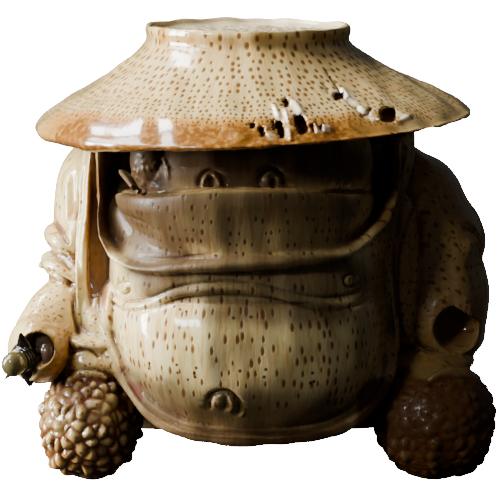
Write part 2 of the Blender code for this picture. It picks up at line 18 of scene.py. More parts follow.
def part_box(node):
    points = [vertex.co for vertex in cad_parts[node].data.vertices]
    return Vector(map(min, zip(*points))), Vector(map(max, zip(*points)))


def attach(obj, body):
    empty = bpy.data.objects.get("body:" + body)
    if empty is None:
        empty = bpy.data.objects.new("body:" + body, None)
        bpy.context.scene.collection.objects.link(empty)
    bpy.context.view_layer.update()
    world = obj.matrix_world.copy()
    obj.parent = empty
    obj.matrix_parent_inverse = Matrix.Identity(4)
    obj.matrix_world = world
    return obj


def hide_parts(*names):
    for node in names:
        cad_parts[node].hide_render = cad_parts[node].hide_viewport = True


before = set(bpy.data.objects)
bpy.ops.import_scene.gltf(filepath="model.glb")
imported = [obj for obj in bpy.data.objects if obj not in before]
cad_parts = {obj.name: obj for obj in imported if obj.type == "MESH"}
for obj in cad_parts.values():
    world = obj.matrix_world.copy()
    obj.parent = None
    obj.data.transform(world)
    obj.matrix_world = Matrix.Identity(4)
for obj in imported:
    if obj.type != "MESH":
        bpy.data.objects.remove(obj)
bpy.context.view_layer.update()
carving_low, carving_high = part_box("toad_carving")

# %% [markdown]
# The camera first. It stands a little above the toad's chest and looks down by about ten degrees, from far
# enough away to keep the hat's brim flat. Knowing it early lets us find the place on the skin behind any
# point of the photograph, which is how the carved lines are placed later.

# %% Camera
DRAWN_HEIGHT = 83.4
UNIT = (carving_high.z - carving_low.z) / DRAWN_HEIGHT
PICTURE = 500
SENSOR = 36.0
CAMERA_PLACE = Vector((0.0, -0.4426, 0.1151))
CAMERA_DIP = math.radians(9.625)
CAMERA_LENS = 167.9

bpy.ops.object.select_all(action="DESELECT")
bpy.ops.object.camera_add(location=CAMERA_PLACE, rotation=(math.pi / 2 - CAMERA_DIP, 0, 0))
camera = bpy.context.object
camera.data.lens = CAMERA_LENS
camera.data.sensor_width = SENSOR
camera.data.clip_start = 0.01
bpy.context.scene.camera = camera
FOCAL = CAMERA_LENS / SENSOR * PICTURE
sight = camera.rotation_euler.to_matrix()
print("one drawn millimetre is", round(UNIT * 1000, 4), "mm; focal length", round(FOCAL), "pixels")


def sight_line(u, v):
    """The heading from the camera through a pixel of the photograph."""
    return sight @ Vector(((u - PICTURE / 2) / FOCAL, (PICTURE / 2 - v) / FOCAL, -1))


def at_depth(u, v, depth):
    """The place behind a pixel at a given Y, both in drawn millimetres."""
    ahead = sight_line(u, v)
    return (CAMERA_PLACE + ahead * ((depth * UNIT - CAMERA_PLACE.y) / ahead.y)) / UNIT


def behind_pixels(rows):
    """Rows of a pixel, a depth and a size, turned to rows of a place and a size."""
    return [(*at_depth(u, v, depth), size) for u, v, depth, size in rows]


# %% [markdown]
# Helpers for shapes. Every form of the body starts as a UV sphere. Its rings are then moved, one after the
# other, to the sections of that form, which keeps the skin closed and its rings even. A carver works the
# same way, from a round blank.

# %% Helpers that pick objects and read and set a mesh's points
def pick(*pieces):
    """Selects these pieces and nothing else; the first is the active one."""
    bpy.ops.object.select_all(action="DESELECT")
    for piece in pieces:
        piece.select_set(True)
    if pieces:
        bpy.context.view_layer.objects.active = pieces[0]


def read_points(mesh):
    points = np.empty(len(mesh.vertices) * 3, np.float32)
    mesh.vertices.foreach_get("co", points)
    return points.reshape(-1, 3).astype(float)


def write_points(mesh, points):
    mesh.vertices.foreach_set("co", np.asarray(points, np.float32).ravel())
    mesh.update()


def read_normals(mesh):
    out = np.empty(len(mesh.vertices) * 3, np.float32)
    mesh.vertex_normals.foreach_get("vector", out)
    return out.reshape(-1, 3).astype(float)


def along(rows, share):
    """Values at each share, 0 to 1, of a smooth curve through the rows, by the Catmull-Rom formula."""
    rows = np.array(rows, float)
    spans = len(rows) - 1
    place = np.clip(np.asarray(share, float), 0, 1) * spans
    start = np.minimum(place.astype(int), spans - 1)
    t = (place - start)[..., None]
    ends = np.vstack((2 * rows[0] - rows[1], rows, 2 * rows[-1] - rows[-2]))
    a, b, c, d = (ends[start + i] for i in range(4))
    cube = (3 * b - a - 3 * c + d) * t**3
    return (2 * b + (c - a) * t + (2 * a - 5 * b + 4 * c - d) * t**2 + cube) / 2


def evenly(rows, count):
    """So many values, spread evenly along a smooth curve through the rows."""
    return along(rows, np.linspace(0, 1, count))


def squared(value, squareness):
    """The sine or cosine of a superellipse: 2 keeps the circle, more makes it squarer."""
    return np.copysign(np.abs(value) ** (2 / squareness), value)


def shaped_ball(name, sides, rings, place):
    """A UV sphere whose rings go where place(share, turn, reach) says, in drawn millimetres."""
    pick()
    bpy.ops.mesh.primitive_uv_sphere_add(segments=sides, ring_count=rings, radius=1)
    ball = bpy.context.object
    ball.name = name
    points = read_points(ball.data)
    ring = np.rint(np.arccos(np.clip(points[:, 2], -1, 1)) / math.pi * rings)
    share = np.clip((ring - 1) / (rings - 2), 0, 1)
    reach = np.where((ring == 0) | (ring == rings), 0.0, 1.0)
    write_points(ball.data, place(share, np.arctan2(points[:, 1], points[:, 0]), reach) * UNIT)
    return ball


def fuse(name, parts, voxel):
    """Melts overlapping parts into one closed skin."""
    pick(*parts)
    bpy.ops.object.join()
    piece = bpy.context.object
    piece.name = name
    bpy.ops.object.transform_apply(location=True, rotation=True, scale=True)
    piece.data.remesh_voxel_size = voxel * UNIT
    piece.data.remesh_voxel_adaptivity = 0.0
    bpy.ops.object.voxel_remesh()
    return piece


def apply_modifier(piece, kind, **settings):
    modifier = piece.modifiers.new(kind.lower(), kind)
    for name, value in settings.items():
        setattr(modifier, name, value)
    pick(piece)
    bpy.ops.object.modifier_apply(modifier=modifier.name)


# %% Helpers for the three kinds of form
WIDEST_AT, HIDDEN_BACK = 4.0, 5.0
BALL_SIDES, BALL_RINGS, BAND_SIDES = 64, 40, 32
forms = []


def add_body(name, sections, squareness, sag=None):
    """A body through level sections: height, left, right, front and, unless it is hidden, back."""
    rows = [(*section, HIDDEN_BACK)[:5] for section in sections]

    def place(share, turn, reach):
        height, left, right, front, back = along(rows, share).T
        bounded = np.minimum(WIDEST_AT, (front + 2 * back) / 3)
        middle = np.where(front < WIDEST_AT, bounded, (front + back) / 2)
        depth = np.where(np.sin(turn) > 0, back - middle, middle - front)
        x = (left + right) / 2 + reach * (right - left) / 2 * squared(np.cos(turn), squareness)
        y = middle + reach * depth * squared(np.sin(turn), squareness)
        drop = sag * (x / MOUTH_HALF_WIDTH) ** 2 if sag else 0.0
        return np.column_stack((x, y, height - drop))

    forms.append(shaped_ball(name, 128, 6 * len(sections), place))


def add_lump(name, centre, radii, lean=0.0):
    """A ball stretched to its three radii and leant about Y."""
    pick()
    bpy.ops.mesh.primitive_uv_sphere_add(
        segments=BALL_SIDES, ring_count=BALL_RINGS, radius=UNIT,
        location=Vector(centre) * UNIT, rotation=(0, math.radians(lean), 0), scale=radii,
    )
    bpy.context.object.name = name
    forms.append(bpy.context.object)


def add_band(name, path, widths, depths):
    """A band of oval section along a path: its width lies in the front view, its depth along Y."""
    rows = np.column_stack((np.array(path, float), widths, depths))
    ahead = np.gradient(rows[:, :3], axis=0)
    across = np.cross(ahead, (0, 1, 0))
    across /= np.linalg.norm(across, axis=1)[:, None]
    out = np.cross(across, ahead)
    out /= np.linalg.norm(out, axis=1)[:, None]

    def place(share, turn, reach):
        row = np.rint(share * (len(rows) - 1)).astype(int)
        width = (rows[row, 3] * np.cos(turn) * reach)[:, None]
        depth = (rows[row, 4] * np.sin(turn) * reach)[:, None]
        return rows[row, :3] + across[row] * width + out[row] * depth

    forms.append(shaped_ball(name, BAND_SIDES, len(rows) + 1, place))


def add_strip(name, rows, depth, steps):
    """A band of even depth whose front follows rows of a place and a half width."""
    strip = evenly(rows, steps)
    path = strip[:, :3] + np.array((0, depth, 0))
    add_band(name, path, strip[:, 3], np.full(len(strip), depth))


# %% [markdown]
# The hat is the root's stump, turned over. Its profile runs from the thin lip of the crown down the flare
# to the brim's edge. Inside the lip the root's inner wall is left as a shallow dish. A turned profile is
# the natural way to make it, with a small wave and tilt because the root was never quite round.

# %% The hat
HAT_PROFILE = (
    (19.4, 83.4), (19.6, 82.3), (19.3, 81), (19.8, 79.8), (21.5, 78.3), (24.6, 76),
    (28.2, 73.8), (32.4, 71.6), (36.3, 69.6), (39.3, 67.6), (41.2, 65.8), (41.6, 64.5), (40.6, 63.4),
)
CROWN_WALL, CROWN_RECESS = 1.1, 1.5
BRIM_UNDERCUT = 1.4
FLARE_START = 20.0
BRIM_TILT, BRIM_WAVE = 1.3, 0.35
# How much thinner the brim's edge is on its right, and the turn where it is thinnest
BRIM_THINNING, THINNEST_AT = 2.1, -0.87
CROWN_SHIFT, BRIM_SHIFT = -0.35, 0.4
BRIM_RADIUS = max(radius for radius, height in HAT_PROFILE)
EDGE_TOP = 66.2


def add_hat():
    inner = HAT_PROFILE[0][0] - CROWN_WALL
    top, rim = HAT_PROFILE[0][1], HAT_PROFILE[-1][1]
    dish = [
        (0.3, top - CROWN_RECESS * 0.8), (inner * 0.5, top - CROWN_RECESS * 0.9),
        (inner * 0.93, top - CROWN_RECESS), (inner, top - CROWN_RECESS * 0.5), (inner + 0.1, top - 0.05),
    ]
    outside = [tuple(row) for row in evenly(HAT_PROFILE, 60)]
    underside = [(BRIM_RADIUS * 0.85, rim + 0.6 * BRIM_UNDERCUT), (0.3, rim + BRIM_UNDERCUT)]
    profile = np.array([*dish, *outside, *underside])

    def place(share, turn, reach):
        radius, height = profile[np.rint(share * (len(profile) - 1)).astype(int)].T
        spread = np.clip((radius - FLARE_START) / (BRIM_RADIUS - FLARE_START), 0, None)
        wave = BRIM_WAVE * spread * (np.sin(3 * turn + 0.6) + 0.5 * np.sin(7 * turn))
        dip = BRIM_TILT * spread * np.cos(turn) + BRIM_WAVE * spread * np.sin(2 * turn + 1.0)
        under = np.clip((EDGE_TOP - height) / (EDGE_TOP - rim), 0, 1) * np.clip(spread / 0.8, 0, 1)
        dip += BRIM_THINNING * under * np.clip(np.cos(turn - THINNEST_AT) - 0.1, 0, 1) / 0.9
        x = reach * (radius + wave) * np.cos(turn) + CROWN_SHIFT + (BRIM_SHIFT - CROWN_SHIFT) * spread
        return np.column_stack((x, reach * (radius + wave) * np.sin(turn), height + dip))

    forms.append(shaped_ball("hat", 256, len(profile) + 1, place))


add_hat()
print("hat rings", len(forms[0].data.vertices) // 256)

# %% [markdown]
# The trunk is a stack of squared ovals, one form for each roll of flesh: robe, jaw, chest, belly, throat,
# lower lip and head. Each form is widest at the same depth, so their fronts lie in layers, as the carver
# left them. Joining the forms later gives the creases between the rolls for nothing.

# %% The trunk
BODY_SQUARENESS, HEAD_SQUARENESS = 2.7, 3.3
ROBE_SQUARENESS, SLEEVE_SQUARENESS = 3.2, 2.25
MOUTH_HALF_WIDTH, MOUTH_DROOP = 24.6, 3.1
ROBE_SECTIONS = (
    (66, -31, 31, -12, 25), (60, -31.6, 31.6, -12.5, 28), (50, -32, 32, -12.5, 30.5),
    (40, -32.5, 32.5, -13, 32), (32, -33, 33, -16, 32.5), (27, -32.5, 32.5, -20, 32.4),
    (20.4, -30, 30, -25.5, 32), (15.6, -26, 26, -30.6, 31.5), (12.6, -20.5, 21, -32.6, 30),
    (10.6, -16, 17, -31.6, 29),
)
CHEST_SECTIONS = (
    (49, -23.4, 22.8, -30), (45, -25.6, 24.2, -33.2), (40.5, -26.4, 25, -34.8),
    (36, -26.4, 25.2, -34.4), (30, -25, 25, -31),
)
BELLY_SECTIONS = (
    (38, -23, 22.8, -31.5), (36, -25.4, 24.8, -34.6), (33, -26, 25.4, -36.5),
    (28.4, -25.8, 25.8, -37.7), (23.4, -24.6, 25.4, -37.9), (18.7, -22.4, 23.6, -37),
    (15.3, -19.6, 20.8, -35.4), (13, -16, 17.2, -33.8), (11.8, -12, 13, -31.6),
)
LIP_SECTIONS = (
    (57, -24.8, 23, -34.4), (56.4, -25.2, 23.6, -36.2), (54.4, -24.9, 23.6, -36.6),
    (52.6, -24, 23.3, -36.5), (51, -23.2, 22.8, -36.4), (49.2, -22.2, 22.3, -36.3),
    (47, -20.8, 21.8, -36), (44.6, -19, 20.6, -35.2), (42.8, -16, 18, -33),
)
THROAT_SECTIONS = (
    (52.5, -22.6, 22, -30.6), (50, -23.4, 23, -33.2), (46, -23.4, 23, -34.4),
    (42.5, -21.6, 21.6, -33.2),
)
HEAD_SECTIONS = (
    (66, -21, 22, -30), (60, -21.6, 22.8, -32.4), (55, -21.8, 23.2, -32.8),
)
JAW_SECTIONS = (
    (62, -28, 28, -14), (57, -28.6, 28.6, -15), (54, -28.4, 28.4, -19),
    (50.5, -28, 28, -24.5), (46, -27, 27, -27.5), (42, -26.4, 26.4, -27),
    (37, -25.8, 26, -24), (33, -25.4, 25.8, -20),
)
BACK_HEM_SECTIONS = (
    (24, -32, 32, 0, 32.6), (15, -31, 31, 8, 32.6), (4, -29, 30, 16.5, 32),
    (-1.5, -27.5, 28.5, 17.5, 31),
)
CHEEKS = (((-17.2, -23.2, 60.6), (4.6, 5.2, 7)), ((17.6, -23.6, 60.6), (4.8, 5.2, 7)))
MOUTH_FLAP = (
    (124.5, 175.5, -29.6, 0.6), (129, 181, -31.4, 0.6), (133, 186.5, -33.2, 0.55), (137, 191.5, -34.8, 0.5),
)
FLAP_DEPTH = 1.6

add_body("robe", ROBE_SECTIONS, ROBE_SQUARENESS)
add_body("back_hem", BACK_HEM_SECTIONS, ROBE_SQUARENESS)
add_body("jaw", JAW_SECTIONS, ROBE_SQUARENESS)
add_body("chest", CHEST_SECTIONS, BODY_SQUARENESS)
add_body("belly", BELLY_SECTIONS, BODY_SQUARENESS)
add_body("throat", THROAT_SECTIONS, BODY_SQUARENESS)
add_body("lip", LIP_SECTIONS, BODY_SQUARENESS, MOUTH_DROOP)
add_body("head", HEAD_SECTIONS, HEAD_SQUARENESS, MOUTH_DROOP)
for cheek in CHEEKS:
    add_lump("cheek", *cheek)
add_strip("mouth_flap", behind_pixels(MOUTH_FLAP), FLAP_DEPTH, 32)
print("forms so far", len(forms))

# %% [markdown]
# The arms and legs. The right arm hangs in a long sleeve that ends in an open cuff. The left sleeve is
# rolled up over a bare forearm, and its fist holds the rod. Both feet are balls of warty skin under rolled
# trousers. All of them are soft round masses, so stretched balls and one band do the work.

# %% Sleeves, forearm, fist, trousers and feet
HANGING_SLEEVE_SECTIONS = (
    (60.2, 24, 30, -2, 9), (58.6, 23, 33.4, -6, 12), (56.6, 22.5, 37.2, -8.4, 13.6),
    (53.8, 22.5, 39.9, -10.4, 14.4), (50.1, 23, 41.8, -11.8, 14.6), (46.5, 24, 43.9, -12.6, 14.2),
    (43, 25, 45.2, -13.2, 13.4), (40.6, 25.4, 45.3, -13.8, 12.6), (38.4, 25.8, 44.9, -14.2, 11.8),
    (36, 26, 45.5, -14.9, 11), (33, 26.4, 46, -15.8, 9.6), (29.6, 27, 45.9, -16.6, 8),
    (26.6, 27.8, 45.4, -17, 6.2), (23.8, 29, 45, -16.6, 4), (21.8, 31, 43.6, -14.8, 1),
)
ROLLED_SLEEVE_SECTIONS = (
    (61.4, -30.6, -24, -1, 10), (59.6, -33.6, -22, -5, 12.6), (57, -35.8, -21, -7.8, 14.4),
    (53.6, -37.2, -20.6, -9.6, 15.2), (49, -37.9, -20.4, -10.6, 15), (44.6, -38, -21, -11, 13.6),
    (39, -37, -23, -11, 11), (33, -35.6, -26, -10, 7),
)
ROLL_TIP = (
    (77, 278, -13, 2.4), (67, 270, -12, 2.5), (59, 264, -9, 2.3), (53, 262, -6.5, 1.7), (48, 263, -5, 0.9),
)
ROLL_DEPTH = 3.0
CUFF_ROLLS = (((-34.2, -3, 42.2), (5.6, 9.5, 3), 26), ((-34.4, -5.6, 37.2), (5.9, 9.4, 2.8), 26))
FOREARM = ((-33.2, -8.6, 33.6, 5.2), (-36, -12.8, 29.8, 6), (-38.7, -16.8, 26.2, 5.8))
FIST = ((-39.2, -18.8, 24.7), (5.8, 8.2, 6.7))
ELBOW = ((-34.4, -8.5, 35.4), (3.9, 4.6, 4.4))
LEFT_FOOT = ((-29.9, -17, 10.3), (9.6, 11.6, 10.8))
RIGHT_FOOT = ((34.5, -17, 10.9), (11.5, 11.8, 11.4))
HEELS = (((-32.8, -17, 8.2), (6.4, 10, 8.1)), ((38.6, -17, 8.5), (6.8, 10.5, 8.4)))
TROUSER_ROLLS = (
    ((-28.4, -12.9, 22.2), (8.2, 10, 3.1), 6), ((-28.8, -12.4, 25.6), (7.4, 9.9, 2.6), 6),
    ((33.6, -10, 21), (9, 10.6, 3.2), 0), ((-28.9, -13, 21.2), (7.9, 9.8, 7.6), 0),
)
THIGHS = (((-28, 4, 9), (7.4, 17, 10.6)), ((31.6, 4, 9), (7.4, 17, 10.6)))
HIPS = (((-26, -6, 18), (7, 11, 6)), ((28, -6, 18), (7, 11, 6)))
WEBS = (
    ((-31, -9, 27), (4.4, 5.6, 6)), ((-32.4, -14.4, 23.4), (4.4, 5.4, 5.6)),
    ((25.5, -16, 17), (3.6, 5.5, 4)), ((-31.8, -8, 39), (3.6, 5.6, 10)),
    ((-28.2, -14.8, 27.2), (2.9, 5, 6.2), -14), ((-31.6, -12.2, 33), (2.4, 5, 9)),
    ((-25.8, -16.3, 32), (2, 4.6, 4.8)), ((28.6, -12, 37), (3.4, 3.9, 16)),
)

add_body("hanging_sleeve", HANGING_SLEEVE_SECTIONS, SLEEVE_SQUARENESS)
add_body("rolled_sleeve", ROLLED_SLEEVE_SECTIONS, SLEEVE_SQUARENESS)
for lump in (*CUFF_ROLLS, *TROUSER_ROLLS, *THIGHS, *HIPS, *WEBS, *HEELS, FIST, ELBOW, LEFT_FOOT, RIGHT_FOOT):
    add_lump("lump", *lump)
arm = evenly(FOREARM, 24)
add_band("forearm", arm[:, :3], arm[:, 3], arm[:, 3])
add_strip("roll_tip", behind_pixels(ROLL_TIP), ROLL_DEPTH, 40)
print("forms so far", len(forms))

# %% [markdown]
# The robe hangs open. Its edge is a raised rim that runs down both sides and under the belly, like the rim
# of a dish. The hat's strap is a second rim inside it, a squared U under the chin. Both are bands along
# smooth paths: deep where they stand beside the chest, thin where they cross in front.

# %% The robe's edge and the hat's strap
ROBE_EDGE = (
    (-29.4, -12.6, 63, 0.9), (-29.9, -13.8, 57, 0.9), (-30.2, -14.8, 50, 1),
    (-31, -15.6, 42, 1.1), (-30.7, -17, 34, 1.5), (-29.2, -19, 28.4, 2.2),
    (-26.2, -22, 23.8, 1.6), (-21.6, -26.6, 18, 1.1), (-17.2, -30.4, 13.8, 1.1),
    (-9, -34.2, 11.5, 1.1), (0, -35.2, 11, 1.1), (9, -34.2, 11.2, 1.1),
    (17.2, -31, 12.6, 1.1), (22.4, -26.6, 15.6, 1.1), (25.8, -22, 20.4, 1.2),
    (26.8, -18.8, 27, 1.1), (26, -17.4, 35, 1), (25.8, -16.8, 43, 1),
    (26.6, -16, 51, 1), (28.6, -14.2, 58, 0.9), (29.6, -12.6, 63, 0.9),
)
EDGE_DEPTH_HIGH, EDGE_DEPTH_LOW = 4.0, 1.4
EDGE_LOW, EDGE_HIGH = 13.0, 30.0
# The strap's pixels with its half width; it bends round the throat and is thinnest in front
STRAP = (
    (98, 140, 0.8), (98, 160, 0.8), (98.5, 180, 0.8), (100, 201, 0.8), (103, 219, 0.75), (106.5, 233, 0.7),
    (112, 246, 0.75), (119, 256, 0.75), (129, 264.5, 0.85), (143, 269.5, 0.95), (165, 270.5, 1),
    (200, 268, 1.15), (250, 265.5, 1.3), (300, 262.5, 1.35), (328, 258.5, 1.25), (350, 251.5, 1.2),
    (370, 237, 1.1), (382, 222, 1), (391, 203, 0.95), (396, 184, 0.85), (398.5, 165, 0.8), (400, 142, 0.8),
)
STRAP_REACH, STRAP_BACK, STRAP_FRONT = 27.2, -19.0, -36.8
STRAP_BEND, STRAP_SWELL = 2.6, 0.8
STRAP_DEPTHS = ((0, 13, 19, 23, 27), (1.4, 1.6, 3.2, 5.4, 7))
# Beds fill the groove between the robe's edge and the belly, and the one between its edge and the strap
LOW_BED = (
    (-28.2, -17.6, 33, 1.4), (-27.4, -19.4, 29, 2.3), (-25.2, -22, 25, 2.3), (-21.2, -26, 19.6, 2),
    (-16.8, -30, 15.2, 1.8), (-9, -33.6, 12.6, 1.7), (0, -34.6, 12, 1.7), (9, -33.6, 12.3, 1.7),
    (16.6, -30.4, 13.8, 1.8), (21.6, -26.2, 16.8, 2), (24.6, -21.8, 21.2, 2), (25.4, -18, 27, 1.4),
)
HIGH_BEDS = (
    (
        (-28.4, -12, 64, 2.8), (-28.5, -12.5, 58, 3), (-28.6, -13.3, 51, 3.3), (-28.5, -14.3, 44, 3.6),
        (-28.2, -15.3, 38, 3.5), (-27.8, -16.8, 32, 2.9),
    ),
    ((28.4, -13.4, 64, 2.2), (28, -13.8, 58, 2.4), (26.4, -14.8, 51, 2.2), (26, -15.6, 44, 1.6)),
)
BED_DEPTH = 3.0


def add_robe_edge():
    edge = evenly(ROBE_EDGE, 161)
    depths = np.interp(edge[:, 2], (EDGE_LOW, EDGE_HIGH), (EDGE_DEPTH_LOW, EDGE_DEPTH_HIGH))
    path = edge[:, :3] + depths[:, None] * np.array((0, 1, 0))
    add_band("robe_edge", path, edge[:, 3], depths)


def add_strap():
    rows = evenly(STRAP, 181)
    path = []
    for u, v, width in rows:
        place = at_depth(u, v, STRAP_BACK)
        for step in range(4):
            side = min(1.0, abs(place.x) / STRAP_REACH)
            bulge = (1 - side**STRAP_BEND) ** STRAP_SWELL
            place = at_depth(u, v, STRAP_BACK + (STRAP_FRONT - STRAP_BACK) * bulge)
        path.append(place)
    path = np.array(path)
    depths = np.interp(np.abs(path[:, 0]), *STRAP_DEPTHS)
    add_band("strap", path + depths[:, None] * np.array((0, 1, 0)), rows[:, 2], depths)


add_robe_edge()
add_strap()
for rows in (LOW_BED, *HIGH_BEDS):
    add_strip("bed", rows, BED_DEPTH, 12 * len(rows))
print("forms in all", len(forms))

# %% [markdown]
# One skin. The forms are joined and remeshed with small voxels, which melts them into one closed skin and
# drops what is hidden inside. A few smoothing steps take the voxel steps away and soften the creases, as
# sanding does. The voxel size decides the finest line that the chisel can leave later.

# %% Fuse the forms
VOXEL = 0.30
SANDING_STEPS = 3

toad = fuse("bamboo_toad", forms, VOXEL)
apply_modifier(toad, "SMOOTH", factor=0.5, iterations=SANDING_STEPS)
print("fused skin", len(toad.data.vertices), "points")

# %% [markdown]
# Where the lines go. The carved lines are read off the photograph, so each is a short list of its pixels.
# A ray from the camera through a pixel finds the place on the skin, and from there on the line is a real
# line in space, with a width and a depth in millimetres. It then looks right from every side.

# %% Find the skin behind a pixel
skin_points = read_points(toad.data)
skin = BVHTree.FromObject(toad, bpy.context.evaluated_depsgraph_get())


def pixels_of(points):
    """Where the camera sees each point, in the photograph's pixels."""
    local = (points - np.array(CAMERA_PLACE)) @ np.array(sight)
    right = PICTURE / 2 + FOCAL * local[:, 0] / -local[:, 2]
    down = PICTURE / 2 - FOCAL * local[:, 1] / -local[:, 2]
    return np.column_stack((right, down))


def seen(u, v):
    """The place on the skin behind one pixel, or None beside the toad."""
    return skin.ray_cast(CAMERA_PLACE, sight_line(u, v).normalized())[0]


print("middle of the picture lies at", [round(1000 * c, 1) for c in seen(PICTURE / 2, PICTURE / 2)], "mm")

# %% [markdown]
# Sanding comes before carving. Where two forms meet at a very flat angle, the voxels leave small teeth.
# Points near those seams are marked in a vertex group, and a Smooth modifier works on that group alone.

# %% Sand the flat seams
SEAMS = (
    (
        (112, 330), (117, 350), (131, 384), (148, 409), (175, 425.5), (200, 432), (255, 436), (300, 434),
        (338, 424), (362, 407), (381, 382), (388, 350), (386, 300), (385, 250),
    ),
    (
        (102, 160), (105, 190), (114, 231), (125, 252), (148, 262), (193, 256), (284, 254), (329, 245),
        (363, 224), (384, 190),
    ),
    (
        (94, 160), (97, 190), (105, 224), (112, 249), (125, 263), (148, 272), (239, 271), (295, 270),
        (329, 263), (372, 234),
    ),
    ((80, 165), (78, 200), (75, 235), (73.5, 262), (74, 290), (76, 317), (80, 338), (100, 362), (125, 395)),
)
SEAM_WIDTH, SEAM_FADE, SEAM_LEVELS, SEAM_STEPS = 1.5, 1.6, 5, 30


def sand_seams():
    group = toad.vertex_groups.new(name="seams")
    weight = np.zeros(len(skin_points))
    for seam in SEAMS:
        places = [seen(u, v) for u, v in evenly(seam, 12 * len(seam))]
        for place in (np.array(place) for place in places if place is not None):
            box = np.where((np.abs(skin_points - place) < SEAM_WIDTH * UNIT).all(axis=1))[0]
            away = np.linalg.norm(skin_points[box] - place, axis=1) / (SEAM_WIDTH * UNIT)
            weight[box] = np.maximum(weight[box], np.clip(SEAM_FADE - SEAM_FADE * away, 0, 1))
    for step in range(1, SEAM_LEVELS + 1):
        level = np.where(np.ceil(weight * SEAM_LEVELS) == step)[0]
        group.add(level.tolist(), step / SEAM_LEVELS, "REPLACE")
    apply_modifier(toad, "SMOOTH", factor=0.5, iterations=SEAM_STEPS, vertex_group="seams")
    toad.vertex_groups.clear()


sand_seams()
skin_points = read_points(toad.data)
skin_normals = read_normals(toad.data)
skin_pixels = pixels_of(skin_points)
skin = BVHTree.FromObject(toad, bpy.context.evaluated_depsgraph_get())
lift = np.zeros(len(skin_points))


# %% The chisel
STEEP, SHARPNESS = 0.25, 1.5
SOFT_ENDS = 0.12
STEPS_PER_POINT = 6


def chisel(path, width, height, kind="round", ends=SOFT_ENDS):
    """Raises the skin along a path of pixels, or cuts it where the height is negative.

    A round or sharp stroke is even on both sides. A fold falls off steeply on one side of its path and
    gently on the other."""
    pixels = evenly(path, STEPS_PER_POINT * len(path))
    found = [(seen(u, v), (u, v)) for u, v in pixels]
    found = [(np.array(place), np.array(pixel)) for place, pixel in found if place is not None]
    places = np.array([place for place, pixel in found])
    reach = width * UNIT
    low, high = places.min(axis=0) - reach, places.max(axis=0) + reach
    near = np.where(((skin_points > low) & (skin_points < high)).all(axis=1))[0]
    nearest = np.full(len(near), np.inf)
    share = np.zeros(len(near))
    side = np.zeros(len(near))
    for i, ((a, pixel_a), (b, pixel_b)) in enumerate(zip(found, found[1:])):
        span = b - a
        step = np.clip((skin_points[near] - a) @ span / max(span @ span, 1e-18), 0, 1)
        away = np.linalg.norm(skin_points[near] - a - step[:, None] * span, axis=1)
        closer = away < nearest
        nearest = np.where(closer, away, nearest)
        share = np.where(closer, (i + step) / (len(found) - 1), share)
        turn = pixel_b - pixel_a
        offset = skin_pixels[near] - pixel_a
        side = np.where(closer, turn[1] * offset[:, 0] - turn[0] * offset[:, 1], side)
    if kind == "fold":
        nearest = np.where(side < 0, nearest / STEEP, nearest)
    t = np.clip(nearest / reach, 0, 1)
    form = (1 - t * t) ** 2 if kind == "round" else (1 - t) ** SHARPNESS
    taper = np.clip(np.minimum(share, 1 - share) / ends, 0, 1) if ends else 1.0
    lift[near] += height * form * np.sqrt(taper)


def dab(u, v, width, height):
    """One round touch of the chisel."""
    chisel(((u - 0.5, v), (u + 0.5, v)), width, height, ends=0)


def ring(u, v, radius):
    """A circle of pixels round a pixel."""
    turns = np.linspace(0, 2 * math.pi, 13)
    return [(u + radius * math.cos(a), v + radius * math.sin(a)) for a in turns]


# %% [markdown]
# The face. Little of it shows under the hat: two curled nostrils, bark-like skin on the cheeks and a fold
# at the left corner of the mouth. The mouth itself is one long cut. All are strokes of the chisel: a cut
# for each dark line and a narrow ridge for each bright one.

# %% Carve the face
MOUTH_LINE = (
    (112, 191.5), (140, 192), (171, 191.5), (207, 189), (234, 187.6), (273, 189), (307, 191.5), (376, 191.5),
)
LEFT_NOSTRIL = ((199.5, 187), (199, 180), (203, 173.5), (210, 170.5), (217, 172.5), (223, 178), (225.5, 187))
LEFT_NOSTRIL_RIDGES = (((203.5, 187), (204, 180), (208, 175.5)), ((213, 174.5), (217.5, 178), (221, 187)))
RIGHT_NOSTRIL = ((258.5, 187), (260, 177.5), (265, 171), (272, 168.5), (279, 171.5), (284, 180), (286, 187))
NOSTRIL_SLITS = (((210.5, 176.5), (211, 182), (211.5, 188)), ((273, 178.5), (273.3, 183), (273.5, 188)))
CHEEK_RIDGE = ((163, 157), (166.5, 167), (168.5, 179))
LIP_CREASE = ((116, 203), (124.3, 215), (143.7, 223), (163, 233))

chisel(MOUTH_LINE, 0.75, -0.9, "sharp", ends=0.02)
chisel(LEFT_NOSTRIL, 0.6, -0.5)
chisel(RIGHT_NOSTRIL, 0.55, -0.6)
for ridge in LEFT_NOSTRIL_RIDGES:
    chisel(ridge, 0.65, 0.5)
dab(267, 180, 1.1, 0.45)
dab(279, 180, 1.1, 0.4)
for slit in NOSTRIL_SLITS:
    chisel(slit, 0.6, -0.8, ends=0.3)
chisel(CHEEK_RIDGE, 0.6, 0.35)
chisel(LIP_CREASE, 0.9, -0.3, "sharp", ends=0.4)

# %% [markdown]
# Chest and belly. A narrow roll of flesh runs in a wave below the two nipples. Above it the chest is flat,
# and below it the belly swells out. The navel is a round button in a ring.

